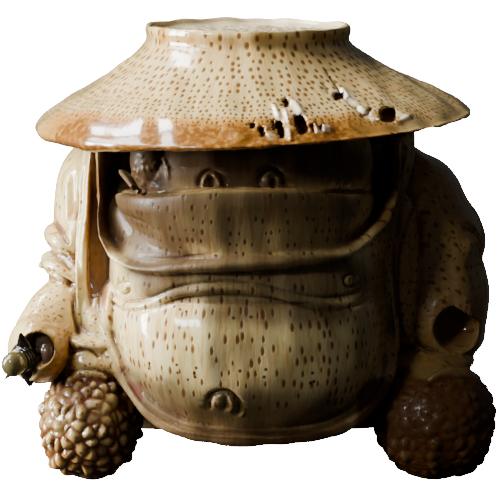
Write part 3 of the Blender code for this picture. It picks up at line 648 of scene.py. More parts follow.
# %% Carve the chest and the belly
ROLL_TOP = (
    (111, 290), (118, 299), (127.6, 301.5), (148, 299), (162, 293.5), (175, 288), (195, 284), (216, 282),
    (250, 283), (284, 291), (307, 296), (329, 298), (352, 293.5), (374, 278),
)
ROLL_FOOT = (
    (110, 299), (118, 307), (130, 310.8), (145, 309.5), (160, 305), (182, 299), (216, 296), (250, 297),
    (284, 301.5), (307, 307), (329, 310), (352, 307), (376, 294),
)
ROLL_MIDDLE = (
    (112, 297), (124, 306), (136, 306.5), (152, 303.5), (170, 297), (195, 291), (216, 289), (250, 290),
    (284, 296), (307, 301.5), (329, 304), (352, 300), (374, 287),
)
NIPPLES = ((123, 288, 6.2), (351, 280.5, 6.6))
NAVEL_ARCH = (
    (208.5, 410), (208.5, 402), (211, 396), (216, 392.8), (223, 391.8), (230, 393.3), (236.5, 399),
    (240, 406), (239, 411), (235.5, 415.5),
)
NAVEL_LOBE = (217.8, 403.5)
NAVEL_RIGHT = ((228.5, 395.5), (232, 401), (232, 407.5), (228, 412.5))
NAVEL_EDGE = ((242.5, 406), (243, 412), (240, 417))
NAVEL_SLIT = ((224.5, 393), (225.3, 399), (225, 406), (222.5, 411))
STRAP_LINE = ((138, 257), (165, 259), (190, 256.5), (220, 253))

chisel(ROLL_TOP, 0.6, -0.42, "sharp", ends=0.06)
chisel(ROLL_FOOT, 0.65, -0.48, "sharp", ends=0.06)
chisel(ROLL_MIDDLE, 1.1, 0.35, ends=0.06)
for u, v, radius in NIPPLES:
    chisel(ring(u, v, radius), 0.45, -0.5, ends=0)
    chisel(ring(u, v, 0.55 * radius), 0.5, 0.3, ends=0)
    dab(u, v, 0.35, 0.45)
chisel(NAVEL_ARCH, 0.85, -0.8, ends=0.2)
dab(*NAVEL_LOBE, 1.2, 0.3)
chisel(NAVEL_RIGHT, 0.75, 0.4, ends=0.3)
chisel(NAVEL_EDGE, 0.55, 0.25, ends=0.3)
chisel(NAVEL_SLIT, 0.55, -0.5, ends=0.3)
chisel(STRAP_LINE, 0.4, -0.3, ends=0.3)

# %% [markdown]
# The robe. Its front edges and the folds of its sleeves are thin bright ridges with a dark cut beside them.
# A sleeve that hangs over the robe gets a fold stroke: a steep step on one side, a soft back on the other.

# %% Carve the robe and the sleeves
LEFT_LAPEL = (
    (85, 162), (82.8, 183), (82.2, 205), (78.5, 235), (77.3, 264), (77.3, 289), (78.3, 317), (83, 338),
)
LEFT_LAPEL_CUT = ((80, 163), (78, 200), (74.8, 235), (73.5, 262), (73.5, 290), (75, 317), (79, 336))
LEFT_SLEEVE_CUTS = (
    ((49, 247.5), (57, 250.5), (64, 254.6), (74, 263)),
    ((46.5, 271.5), (56, 275), (65.4, 279.5), (75, 288)),
)
LEFT_SLEEVE_ROLLS = (
    ((45, 237), (55, 241), (66, 250), (73, 257)),
    ((43, 263), (52, 264.5), (62, 270), (73, 280)),
)
LEFT_SLEEVE_CREASE = ((54, 219), (61, 231), (68, 246))
LEFT_SLEEVE_FOLD = ((65, 172), (67, 195), (70, 226))
LEFT_SLEEVE_VALLEY = ((73, 172), (72.5, 200), (73, 240))
RIGHT_EDGE = (
    (410, 160), (409, 167.6), (401, 195), (397, 212), (394, 228), (395.4, 252.5), (396, 277),
    (397.5, 310), (398.7, 342), (400, 372),
)
RIGHT_EDGE_CUT = ((404, 168), (396, 197), (391.5, 224), (390.8, 252), (391, 300), (393, 345))
SLEEVE_BORDER = (
    (422, 192), (411, 215), (406, 234.6), (401.5, 254), (400.5, 275), (401, 300), (404, 325), (412, 345),
    (426, 358),
)
SLEEVE_RIDGE = ((440, 188), (430, 212), (426, 238), (429, 256))
CURL_CUT = ((462, 229), (468, 227), (475, 230), (480.5, 239), (481.5, 250), (480, 261))
CUFF_RIM = ((430, 345), (431, 328), (434, 311), (441, 299), (453, 293), (465, 297), (473, 312))
TROUSER_CUTS = (
    ((69, 353.5), (76, 350.8), (84, 350.4), (92, 352.2), (100, 358)),
    ((66, 373), (74, 370.8), (84, 370), (94, 370.6), (104, 373), (111, 377)),
)
RIGHT_TROUSER_CUT = ((428, 386), (440, 379), (455, 376.5), (474, 379))
RIGHT_TROUSER_RIDGE = ((430, 380), (440, 373.5), (455, 370.5), (472, 373))
HEM_CUT = (
    (112, 330), (117, 350), (131, 384), (148, 407), (175, 423.5), (200, 430), (255, 434), (300, 432),
    (338, 422), (362, 405), (381, 380), (386, 350),
)
HEM_LINE = (
    (136, 398), (150, 413), (175, 428), (200, 434.5), (255, 438.5), (300, 436.5), (340, 427), (366, 410),
    (385, 383),
)

chisel(LEFT_LAPEL, 0.7, 0.45, "sharp")
chisel(LEFT_LAPEL_CUT, 0.9, -0.7)
for cut in LEFT_SLEEVE_CUTS:
    chisel(cut, 0.9, -1.0, "sharp", ends=0.05)
for cut in TROUSER_CUTS:
    chisel(cut, 0.6, -0.6, "sharp", ends=0.05)
for roll in LEFT_SLEEVE_ROLLS:
    chisel(roll, 1.6, 0.5)
chisel(LEFT_SLEEVE_CREASE, 0.9, -0.5)
chisel(LEFT_SLEEVE_FOLD, 1.8, 0.4)
chisel(LEFT_SLEEVE_VALLEY, 1.3, -0.5)
chisel(RIGHT_EDGE, 0.7, 0.45, "sharp")
chisel(RIGHT_EDGE_CUT, 0.9, -0.6)
chisel(SLEEVE_BORDER, 2.2, 0.9, "fold", ends=0.08)
chisel(SLEEVE_RIDGE, 1.6, 0.55)
chisel(CURL_CUT, 1.2, -0.9)
dab(470, 246, 2.0, 0.6)
chisel(CUFF_RIM, 0.8, 0.2)
chisel(RIGHT_TROUSER_CUT, 0.9, -0.8)
chisel(RIGHT_TROUSER_RIDGE, 1.0, 0.6)
chisel(HEM_CUT, 0.7, -0.5, ends=0.03)
chisel(HEM_LINE, 0.5, 0.35, "sharp")

# %% [markdown]
# Worm-eaten places. The front of the brim is weathered: slots and holes with pale ridges between them, and
# a crack that runs up the hat. They stay as they are. Deep holes are pushed in along the camera's line of
# sight after the strokes, because a stroke along the skin's normal would fold over itself.

# %% Crack and ridges of the brim
CRACKS = (
    (((325, 70), (333, 81), (340, 91), (344.5, 100)), 0.45, -0.3),
    (((323, 82), (326, 88), (329, 94)), 0.4, -0.3),
)
CHANNEL = ((346, 98), (356, 106), (367, 113.5), (378, 119.5))
BRIM_RIDGES = (
    (((341, 87), (347, 96), (354, 105)), 0.8, 0.4), (((359.5, 106), (368, 114.5), (376, 122)), 0.7, 0.45),
    (((357, 96.5), (370, 99.5), (382, 105)), 0.9, 0.25),
    (((396, 122.5), (403, 119.5), (410, 116)), 0.8, 0.35),
    (((273, 103), (276, 110), (279, 118)), 0.6, 0.4), (((284, 109), (287, 117), (290, 125)), 0.5, 0.35),
    (((292, 100), (297, 107), (302, 115)), 0.9, 0.45), (((288, 128), (290, 134), (291, 141)), 0.5, 0.35),
    (((312, 120), (315, 127), (317, 134)), 0.5, 0.3), (((319, 121), (323, 127), (325, 133)), 0.6, 0.3),
)
BRIM_SWELLS = ((240, 135, 2.4, 0.4), (329, 128, 1.3, 0.35), (268, 128, 0.8, 0.3))
# Each hole's place, its half width and half height in drawn millimetres, its depth and its lean in degrees
BRIM_HOLES = (
    (280.5, 129, 0.62, 1.6, 3.6, 14), (301, 125.5, 1, 1.75, 4.2, 22), (286, 104, 0.5, 0.8, 1.8, 20),
    (273.5, 125, 0.3, 0.9, 1.4, 10), (252.5, 126, 0.5, 0.5, 1.4, 0), (262, 132.5, 0.45, 0.95, 2, 12),
    (312.5, 129, 0.25, 0.9, 1.4, 14), (321, 129, 0.3, 0.6, 1, 10), (338.5, 96.5, 1, 0.7, 1.8, 12),
    (388, 115.5, 1.5, 1.3, 3.6, 6), (367, 113, 1.3, 0.3, 0.8, 44),
)
HOLE_SQUARENESS = 3.0

for stroke in (*CRACKS, *BRIM_RIDGES):
    chisel(*stroke)
chisel(CHANNEL, 1.0, -0.9)
for swell in BRIM_SWELLS:
    dab(*swell)

# %% [markdown]
# Warts. Each foot is covered with bumps like a pine cone, and the cheeks with finer ones. Points are spread
# evenly over a ball by the golden angle and shaken a little, or picked from the cheek's skin. Each skin
# point then asks for its two nearest: a bump is round near the first, and creased where both are as far.

# %% Warts on the feet and the cheeks
WART_SEED = 7
FOOT_WART, LEFT_HEIGHT, RIGHT_HEIGHT = 2.5, 1.25, 0.85
CHEEK_WART, CHEEK_WART_HEIGHT = 0.85, 0.28
# How softly a crease opens, from crisp to soft
CRISP, SOFT = 0.3, 0.55
WART_PACKING, WART_SHAKE = 0.87, 0.42
LOWEST_RISE, HIGHEST_RISE = 0.3, 1.25
DOME, DOME_REACH, WART_SINK = 0.85, 0.85, 0.35
CHEEK_FRONT = -0.015
SOLE_FADE, TOP_FADE, NEAR_FOOT = 2.2, 2.0, 1.1
WART_TOP = 21.0
CHEEK_PATCHES = ((150, 172, 20, 17), (341, 172, 22, 17))
rng = np.random.default_rng(WART_SEED)


def golden_turn(number):
    """The turn of the numbered point when each goes on by the golden angle."""
    return number * math.pi * (3 - math.sqrt(5))


def spread_over_ball(centre, radii, spacing):
    mean = sum(radii) / 3
    count = int(4 * math.pi * mean**2 / (WART_PACKING * spacing**2))
    height = 1 - 2 * (np.arange(count) + 0.5) / count
    turn = golden_turn(np.arange(count))
    reach = np.sqrt(1 - height**2)
    unit = np.column_stack((reach * np.cos(turn), reach * np.sin(turn), height))
    unit += rng.uniform(-WART_SHAKE, WART_SHAKE, unit.shape) * spacing / mean
    return (np.array(centre) + np.array(radii) * unit) * UNIT


def bumps(chosen, places, spacing, height, softness):
    """How high each chosen skin point stands on the bumps round the places."""
    tree = KDTree(len(places))
    for i, place in enumerate(places):
        tree.insert(place, i)
    tree.balance()
    rise = rng.uniform(LOWEST_RISE, HIGHEST_RISE, len(places))
    near = [tree.find_n(Vector(point), 2) for point in skin_points[chosen]]
    first = np.array([pair[0][2] for pair in near]) / (spacing * UNIT)
    gap = np.array([pair[1][2] for pair in near]) / (spacing * UNIT) - first
    dome = DOME * np.cos(math.pi / 2 * np.clip(first / DOME_REACH, 0, 1)) + 0.15
    crease = 1 - np.exp(-gap / softness)
    return height * rise[[pair[0][1] for pair in near]] * dome * crease - WART_SINK * height


def from_ball(centre, radii):
    """Where each skin point lies from a stretched ball's middle, in its radii."""
    return (skin_points / UNIT - np.array(centre)) / np.array(radii)


def warts_on_foot(ball, heel, height, softness):
    local = from_ball(*ball)
    reach = np.linalg.norm(local, axis=1)
    inside = np.minimum(reach, np.linalg.norm(from_ball(*heel), axis=1)) < NEAR_FOOT
    chosen = np.where(inside & (skin_points[:, 2] < (WART_TOP + 1) * UNIT))[0]
    z = skin_points[chosen, 2] / UNIT
    fade = np.clip((WART_TOP - z) / TOP_FADE, 0, 1) * np.clip(z / SOLE_FADE, 0, 1)
    fade *= np.clip(0.7 - local[chosen, 1], 0, 1)
    places = spread_over_ball(*ball, FOOT_WART)
    lift[chosen] += fade * bumps(chosen, places, FOOT_WART, height, softness)


def warts_on_cheek(u, v, half_width, half_height):
    across = ((skin_pixels[:, 0] - u) / half_width) ** 4 + ((skin_pixels[:, 1] - v) / half_height) ** 4
    chosen = np.where((across < 1) & (skin_normals[:, 1] < 0) & (skin_points[:, 1] < CHEEK_FRONT))[0]
    low, high = skin_points[chosen].min(axis=0), skin_points[chosen].max(axis=0)
    count = int(np.prod((high - low)[[0, 2]]) / (CHEEK_WART * UNIT) ** 2)
    loose = rng.choice(chosen, size=count, replace=False)
    step = bumps(chosen, skin_points[loose], CHEEK_WART, CHEEK_WART_HEIGHT, CRISP)
    lift[chosen] += step * np.clip(3 * (1 - across[chosen]), 0, 1)


warts_on_foot(LEFT_FOOT, HEELS[0], LEFT_HEIGHT, CRISP)
warts_on_foot(RIGHT_FOOT, HEELS[1], RIGHT_HEIGHT, SOFT)
for patch in CHEEK_PATCHES:
    warts_on_cheek(*patch)
print("highest and deepest stroke", round(lift.max(), 2), round(lift.min(), 2))

# %% [markdown]
# The back is plain: folds that hang from the shoulders and spread towards the hem. A carved surface is also
# never quite even, so slow waves of a few hundredths of a millimetre go over all of it.

# %% Folds of the back and the knife's unevenness
BACK_FOLDS = (-24, -15, -5, 5, 15, 24)
BACK_FOLD_LINE = ((0.7, 58), (0.9, 40), (1, 24), (1.04, 6))
BACK_FOLD_WIDTH, BACK_FOLD_DEPTH = 3.0, 1.3
WAVES, WAVE_HEIGHT = 9, 0.05
SHORTEST_WAVE, LONGEST_WAVE = 4.0, 11.0


def fold_the_back():
    behind = np.where(skin_normals[:, 1] > 0.1)[0]
    x, z = skin_points[behind, 0] / UNIT, skin_points[behind, 2] / UNIT
    line = evenly(BACK_FOLD_LINE, 40)[::-1]
    spread = np.interp(z, line[:, 1], line[:, 0])
    shown = np.clip((z - 3) / 4, 0, 1) * np.clip((60 - z) / 6, 0, 1)
    for fold in BACK_FOLDS:
        t = np.clip(np.abs(x - fold * spread) / BACK_FOLD_WIDTH, 0, 1)
        lift[behind] -= BACK_FOLD_DEPTH * shown * (1 - t * t) ** 2


fold_the_back()
for wave in range(WAVES):
    heading = rng.normal(size=3)
    swing = rng.uniform(SHORTEST_WAVE, LONGEST_WAVE) * UNIT
    heading *= 2 * math.pi / (swing * np.linalg.norm(heading))
    lift += WAVE_HEIGHT * np.sin(skin_points @ heading + rng.uniform(0, 2 * math.pi))

# %% Lay the strokes on the skin
skin_points += skin_normals * (lift * UNIT)[:, None]
print("strokes laid on", len(skin_points), "points")

# %% [markdown]
# Deep hollows: the cuff of the hanging sleeve, the fist's mouth that holds the rod, and the worm holes. A
# round gouge pushes the skin back to the far side of a ball. The crown's dish is not carved but left as it
# dried, so it is crumpled by noise.

# %% Gouges and holes
ROD_PLACE, ROD_HEADING = (-39.5, -20.6, 24.5), (-0.473, -0.871, -0.133)
ROD_RADIUS, SOCKET_ROOM, SOCKET_FLOOR, SOCKET_MOUTH = 1.7, 0.2, -8.2, 12
CUFF_HOLLOW = ((39.2, -17.8, 27.9), (5.1, 7.4, 4.7))
# The cuff's opening is cut off straight at its upper right; the other hollows are full ovals
CUFF_CORNER, CORNER_SLOPE, NO_CORNER = 0.72, 0.77, 3.0
GOUGE_REACH = -1.6
FIST_MOUTH = ((-38.9, -27.4, 26), (3.5, 6.4, 3.3))
COLLAR_ROOM = ((-42.6, -28.8, 22.8), (4.2, 6.6, 5.2))
DISH_CRUMPLE, DISH_EDGE, DISH_LEVEL = 0.55, 17.9, 80
CRUMPLE_SWINGS, CRUMPLE_DETAIL, CRUMPLE_MEAN, CRUMPLE_FADE = 0.45, 4, 0.35, 1.5
HOLE_REACH = 4


def rod_turn():
    """The turn that carries Z to the rod's heading."""
    return Vector(ROD_HEADING).to_track_quat("Z", "X").to_matrix()


def gouge(centre, radii, corner=NO_CORNER):
    """Pushes the skin in front of a ball back to the ball's far side."""
    local = from_ball(centre, radii)
    across = local[:, 0] ** 2 + local[:, 2] ** 2
    floor = np.sqrt(np.clip(1 - across, 0, 1))
    inside = (across < 1) & (local[:, 1] > GOUGE_REACH) & (local[:, 1] < floor)
    inside &= CORNER_SLOPE * local[:, 0] + local[:, 2] < corner
    skin_points[inside, 1] = UNIT * (centre[1] + radii[1] * floor[inside])


def worm_hole(u, v, half_width, half_height, depth, lean):
    """Pushes an oval of the skin away from the camera."""
    place = np.array(seen(u, v))
    ahead = place - np.array(CAMERA_PLACE)
    per_pixel = np.linalg.norm(ahead) / FOCAL / UNIT
    ahead /= np.linalg.norm(ahead)
    offset = (skin_pixels - np.array((u, v))) * per_pixel
    spin = math.radians(lean)
    across = (offset[:, 0] * math.cos(spin) - offset[:, 1] * math.sin(spin)) / half_width
    down = (offset[:, 0] * math.sin(spin) + offset[:, 1] * math.cos(spin)) / half_height
    share = np.clip(np.abs(across) ** HOLE_SQUARENESS + np.abs(down) ** HOLE_SQUARENESS, 0, 1)
    share[np.abs((skin_points - place) @ ahead) > HOLE_REACH * UNIT] = 1
    skin_points[:] += ahead * (depth * UNIT * (1 - share**4))[:, None]


def push_socket():
    """Drives the hole for the rod's shank into the fist."""
    local = (skin_points / UNIT - np.array(ROD_PLACE)) @ np.array(rod_turn())
    reach = np.linalg.norm(local[:, :2], axis=1) / (ROD_RADIUS + SOCKET_ROOM)
    inside = (reach < 1) & (local[:, 2] > SOCKET_FLOOR) & (local[:, 2] < SOCKET_MOUTH)
    drop = (local[inside, 2] - SOCKET_FLOOR) * (1 - reach[inside] ** 12)
    skin_points[inside] -= drop[:, None] * UNIT * np.array(ROD_HEADING) / np.linalg.norm(ROD_HEADING)


def crumple_dish():
    """Wrinkles the crown's dish as wood does that dries."""
    flat = np.linalg.norm(skin_points[:, :2] / UNIT - np.array((CROWN_SHIFT, 0)), axis=1)
    dish = np.where((flat < DISH_EDGE) & (skin_points[:, 2] > DISH_LEVEL * UNIT))[0]
    for i in dish:
        place = Vector(skin_points[i]) / UNIT
        rough = noise.turbulence(place * CRUMPLE_SWINGS, CRUMPLE_DETAIL, True)
        fade = min(1.0, (DISH_EDGE - flat[i]) / CRUMPLE_FADE)
        skin_points[i, 2] += DISH_CRUMPLE * UNIT * fade * (rough - CRUMPLE_MEAN)


gouge(*CUFF_HOLLOW, CUFF_CORNER)
gouge(*FIST_MOUTH)
gouge(*COLLAR_ROOM)
push_socket()
for hole in BRIM_HOLES:
    worm_hole(*hole)
crumple_dish()
write_points(toad.data, skin_points)
print("box after carving", [round(1000 * v, 2) for v in (*skin_points.min(axis=0), *skin_points.max(axis=0))])

# %% Ground and thinning
TOAD_TRIANGLES = 196000


def cut_at_ground():
    pick(toad)
    bpy.ops.object.mode_set(mode="EDIT")
    bpy.ops.mesh.select_all(action="SELECT")
    bpy.ops.mesh.bisect(plane_co=(0, 0, 0), plane_no=(0, 0, 1), clear_inner=True, use_fill=True)
    bpy.ops.object.mode_set(mode="OBJECT")


cut_at_ground()
toad.data.calc_loop_triangles()
apply_modifier(toad, "DECIMATE", ratio=min(1.0, TOAD_TRIANGLES / len(toad.data.loop_triangles)))
thinned = read_points(toad.data)
thinned[:, 2] = np.maximum(thinned[:, 2], 0)
write_points(toad.data, thinned)
toad.data.shade_smooth()
toad.data.calc_loop_triangles()
print("toad", len(toad.data.loop_triangles), "triangles")

# %% [markdown]
# The rod in the fist is dark horn. Seen from the front it is a blunt knob with three rings, and behind it a
# collar with spikes like a star and a flat petal that fills the hand. The shank was turned and the rest cut
# on to it, so a turned ball, four tapering bands and a petal are fused here too, with finer voxels.

# %% The rod
ROD_PROFILE = (
    (-8, 1.2), (-7.6, 1.7), (0, 1.7), (3, 1.7), (3.5, 2.2), (4, 2.45), (4.35, 2.45), (4.55, 2.1), (4.75, 2.4),
    (5.1, 2.4), (5.3, 2.05), (5.5, 2.35), (5.85, 2.3), (6.05, 2), (6.4, 2.15), (7.3, 2.25), (8.2, 2.15),
    (8.9, 1.8), (9.4, 1.2), (9.65, 0.5),
)
# Each spike's tip in pixels, the Y of its tip and its half width at the root
SPIKES = ((20.5, 333, -25.4, 2.1), (44, 346, -22.8, 1.3), (4, 380, -25.6, 1.2), (30.5, 386.5, -24.2, 2.8))
SPIKE_ROOT, SPIKE_DEPTH = 3.4, 0.8
PETAL = (
    (39, 335, -22.6, 0.9), (41, 339.5, -23.4, 1.9), (44, 345, -24.2, 1.6), (46.5, 352, -25.2, 1.3),
    (46.5, 360, -25.4, 0.95), (45, 369, -25.2, 0.4),
)
PETAL_DEPTH = 1.0
ROD_VOXEL, ROD_TRIANGLES = 0.13, 30000


def turned_rod(share, turn, reach):
    height, radius = along(ROD_PROFILE, share).T
    local = np.column_stack((reach * radius * np.cos(turn), reach * radius * np.sin(turn), height))
    return local @ np.array(rod_turn()).T + np.array(ROD_PLACE)


forms.clear()
forms.append(shaped_ball("shank", 64, 160, turned_rod))
root = np.array(ROD_PLACE) + SPIKE_ROOT * np.array(ROD_HEADING) / np.linalg.norm(ROD_HEADING)
for u, v, depth, size in SPIKES:
    share = np.linspace(0, 1, 24)[:, None]
    path = root + (np.array(at_depth(u, v, depth)) - root) * share
    taper = (1 - 0.93 * share[:, 0]) ** 0.8
    add_band("spike", path, size * taper, SPIKE_DEPTH * taper)
add_strip("petal", behind_pixels(PETAL), PETAL_DEPTH, 40)
rod = fuse("horn_rod_carved", forms, ROD_VOXEL)
apply_modifier(rod, "SMOOTH", factor=0.5, iterations=2)
rod.data.calc_loop_triangles()
apply_modifier(rod, "DECIMATE", ratio=min(1.0, ROD_TRIANGLES / len(rod.data.loop_triangles)))
rod.data.shade_smooth()
print("rod", len(rod.data.polygons), "triangles")

# %% [markdown]
# Measure the finished skin. Two things are measured at every point and kept as attributes: how much of its
# sky is closed off, found with a dozen rays, and how much it lies below its neighbours, found by comparing it
# with a softened copy of the mesh. The closed sky later darkens the colour in recesses as painted shade,
# mixed with some amber stain; the hollows turn fine creases brown.

# %% Shade and hollows
RAYS, RAY_LENGTH, RAY_START = 12, 9.0, 0.12
ANY_HEADING = (0.31, 0.52, 0.79)
FINE_STEPS, WIDE_STEPS = 5, 50
toad_points, toad_normals = read_points(toad.data), read_normals(toad.data)
toad_pixels = pixels_of(toad_points)
toad_skin = BVHTree.FromObject(toad, bpy.context.evaluated_depsgraph_get())
toad_edges = np.empty(2 * len(toad.data.edges), np.int32)
toad.data.edges.foreach_get("vertices", toad_edges)
toad_edges = toad_edges.reshape(-1, 2)


def softened(values, steps):
    """Each point's values, averaged with its neighbours' step by step."""
    count = len(values)
    degree = np.maximum(np.bincount(toad_edges.ravel(), minlength=count), 1)
    columns = values.reshape(count, -1).T.copy()
    first, second = toad_edges.T
    for step in range(steps):
        for column in columns:
            total = np.bincount(first, column[second], count) + np.bincount(second, column[first], count)
            column[:] = (column + total / degree) / 2
    return columns.T.reshape(values.shape)


def closed_sky():
    """How much of the half ball over each point is closed off by near parts, from 0 to 1."""
    side = np.cross(toad_normals, ANY_HEADING)
    side /= np.linalg.norm(side, axis=1)[:, None]
    other = np.cross(toad_normals, side)
    closed = np.zeros(len(toad_points))
    starts = [Vector(point) for point in toad_points + toad_normals * RAY_START * UNIT]
    for ray in range(RAYS):
        level = (ray + 0.5) / RAYS
        turn = golden_turn(ray)
        reach = math.sqrt(level)
        level_part = math.cos(turn) * reach * side + math.sin(turn) * reach * other
        ahead = level_part + math.sqrt(1 - level) * toad_normals
        for i, start in enumerate(starts):
            away = toad_skin.ray_cast(start, ahead[i], RAY_LENGTH * UNIT)[3]
            if away is not None:
                closed[i] += (1 - away / (RAY_LENGTH * UNIT)) / RAYS
    return closed


def keep(piece, name, values):
    layer = piece.data.attributes.new(name, "FLOAT", "POINT")
    layer.data.foreach_set("value", np.asarray(values, np.float32))


shade = softened(closed_sky(), 3)
fine_hollow = ((softened(toad_points, FINE_STEPS) - toad_points) * toad_normals).sum(axis=1) / UNIT
wide_hollow = ((softened(toad_points, WIDE_STEPS) - toad_points) * toad_normals).sum(axis=1) / UNIT
keep(toad, "shade", shade)
keep(toad, "fine_hollow", softened(fine_hollow, 1))
keep(toad, "wide_hollow", softened(wide_hollow, 2))
print("shade up to", round(float(shade.max()), 2), "hollows up to", round(float(wide_hollow.max()), 2), "mm")

# %% [markdown]
# Rows of dots. Rootlets grow in rings round the stalk, so the dots lie in rows: wide apart at the hat's
# neck, close together at its brim, and drawn out to dashes on the body. The row number is kept as an
# attribute, together with the gap between rows, the size of a dot and how often one is there.

# %% Rows, dots and stains as attributes
ROW_GAPS = ((19, 24.6, 30, 34, 38, 42), (1.9, 2, 1.7, 1.3, 0.95, 0.85))
CELL_SHAPE = 0.95
BODY_ROW_GAP, BODY_CELLS = 2.1, 150
DOT_SIZES = ((19, 26, 34, 40), (0.36, 0.34, 0.25, 0.2))
LAST_DOTS, LAST_DOTS_RIGHT = 38.6, 40.4
NECK_LEVEL, BRIM_INSIDE, BRIM_LOW = 79.8, 34.5, 61
DISH_RADIUS, DISH_FLOOR, UNDER_LEVEL = 18.6, 79.5, 68
HAT_CHANCE, LAST_FADE = 0.97, 1.2
x, y, z = (toad_points / UNIT).T
u, v = toad_pixels.T
facing = toad_normals[:, 1] < 0.25
reach = np.hypot(x, y)
on_hat = (z > EDGE_TOP) | ((reach > BRIM_INSIDE) & (z > BRIM_LOW))
outline = evenly(HAT_PROFILE, 400)
length = np.concatenate(([0], np.cumsum(np.linalg.norm(np.diff(outline, axis=0), axis=1))))
gaps = np.interp(outline[:, 0], *ROW_GAPS)
row_of_length = np.concatenate(([0], np.cumsum(np.diff(length) / gaps[1:])))
flare = outline[:, 1] < NECK_LEVEL
row_by_reach = np.interp(reach, outline[flare, 0], row_of_length[flare])
row_by_height = np.interp(-z, -outline[:, 1], row_of_length)
hat_rows = np.where(z > NECK_LEVEL, row_by_height, row_by_reach)
gap_by_reach = np.interp(reach, *ROW_GAPS)
whole_rows = np.arange(0, int(row_of_length[-1]) + 1)
cells_by_row = 2 * math.pi * np.interp(whole_rows, row_of_length, outline[:, 0])
cells_by_row /= CELL_SHAPE * np.interp(whole_rows, row_of_length, gaps)
CELL_CURVE = np.polyfit(whole_rows, cells_by_row, 2)

right_side = np.clip((x - 8) / 10, 0, 1) * np.clip((y + 36) / 6 + (x > 22), 0, 1)
last_dots = LAST_DOTS + (LAST_DOTS_RIGHT - LAST_DOTS) * np.clip(right_side + (y > -12), 0, 1)
dish = on_hat & (reach < DISH_RADIUS) & (z > DISH_FLOOR)
under = on_hat & (toad_normals[:, 2] < 0) & (z < UNDER_LEVEL)
dot_chance = np.where(on_hat, HAT_CHANCE * np.clip((last_dots - reach) / LAST_FADE, 0, 1), 0.0)
dot_chance[dish | under] = 0
keep(toad, "row", np.where(on_hat, hat_rows, z / BODY_ROW_GAP))
keep(toad, "row_gap", np.where(on_hat, gap_by_reach, BODY_ROW_GAP))
keep(toad, "on_hat", on_hat)


def zone(centre_u, centre_v, half_u, half_v, lean=0.0):
    """A soft patch of the front, 1 in its middle and 0 outside, placed by the photograph's pixels."""
    right, down, turn = u - centre_u, v - centre_v, math.radians(lean)
    across = (right * math.cos(turn) - down * math.sin(turn)) / half_u
    along_it = (right * math.sin(turn) + down * math.cos(turn)) / half_v
    return np.where(facing, np.clip(1.6 - 1.2 * (across**4 + along_it**4), 0, 1), 0)


def zones(rows):
    """The strongest of several patches; each row ends with the patch's strength."""
    return np.maximum.reduce([strength * zone(*place) for *place, strength in rows])


body = ~on_hat
foot = body & (z < 20) & (np.abs(x) > 19.5) & (y < -4) & ((v > 376) | ~facing)
belly = zone(245, 350, 135, 62) * body
chest = zone(248, 285, 138, 24) * body
throat = zone(250, 222, 135, 34) * body
dots_on_body = np.maximum.reduce((
    0.6 * belly, 0.3 * chest, 0.35 * throat * (v > 193), 0.75 * throat * (v > 228),
    0.1 * zone(66, 215, 24, 60), 0.75 * zone(430, 260, 60, 130),
))
dots_on_body = np.maximum(dots_on_body, 0.3 * (body & ~facing))
dot_chance = np.where(on_hat, dot_chance, np.where(foot, 0, dots_on_body))
keep(toad, "dot_size", np.where(on_hat, np.interp(reach, *DOT_SIZES), 0.26 + 0.02 * belly))
keep(toad, "dot_dash", np.where(on_hat, 1.75, 1.7 + 0.8 * belly))

FRECKLED = (
    (55, 318, 28, 42, 1), (62, 360, 22, 30, 0.8), (95, 345, 16, 38, 0.9), (90, 370, 26, 22, 0.9),
    (58, 262, 20, 24, 0.7), (118, 392, 14, 30, 0.7), (440, 270, 50, 60, 0.6),
)
keep(toad, "freckles", np.where(foot, 0.45, zones(FRECKLED) * body))

# Amber stain by place: the middle of each soft patch in pixels, its half width and height, its strength
STAINED = (
    (98, 235, 12, 76, 0.85), (48, 348, 26, 40, 0.5), (60, 362, 16, 28, 0.85), (62, 318, 14, 40, 0.3),
    (88, 368, 30, 20, 0.3), (248, 170, 130, 24, 0.4), (250, 212, 128, 26, 0.25), (250, 250, 110, 12, 0.3),
    (240, 425, 110, 22, 0.4),
    (118, 400, 14, 40, 0.5), (430, 270, 60, 120, 0.5), (60, 230, 16, 14, 0.3), (70, 215, 5, 35, 0.35),
    (163, 35, 3, 10, 0.9), (190, 36, 3, 9, 0.9), (262, 34, 3, 9, 0.9), (215, 38, 3, 7, 0.7),
    (320, 38, 3, 8, 0.8),
)
# Brown patina mixed with painted shadow: the brim's cast shadow on the face, lip, throat and chest, the
# darker right side away from the light, corners and low down
SHADOW_AND_PATINA = (
    (250, 163, 130, 27, 0.94), (140, 165, 34, 30, 0.95), (150, 208, 40, 20, 0.95), (262, 207, 104, 17, 0.9),
    (165, 238, 34, 17, 0.93), (192, 236, 40, 16, 0.86), (275, 236, 90, 16, 0.76), (128, 229, 19, 25, 0.9),
    (112, 200, 8, 50, 0.9), (388, 200, 18, 44, 0.7), (160, 265, 38, 16, 0.93), (265, 264, 105, 10, 0.9),
    (162, 284, 26, 16, 0.88),
    (262, 283, 120, 19, 0.78), (340, 282, 60, 26, 0.4), (280, 314, 80, 14, 0.88), (300, 340, 80, 24, 0.4),
    (160, 400, 36, 26, 0.88), (128, 390, 18, 26, 0.72), (240, 418, 125, 30, 0.78), (240, 438, 120, 9, 0.94),
    (99, 235, 10, 78, 0.72), (52, 368, 24, 22, 0.4), (60, 362, 14, 26, 0.4), (435, 260, 62, 125, 0.42),
    (448, 318, 38, 46, 0.6), (440, 365, 40, 16, 0.6), (128, 400, 10, 24, 0.7), (300, 370, 100, 70, 0.3),
)
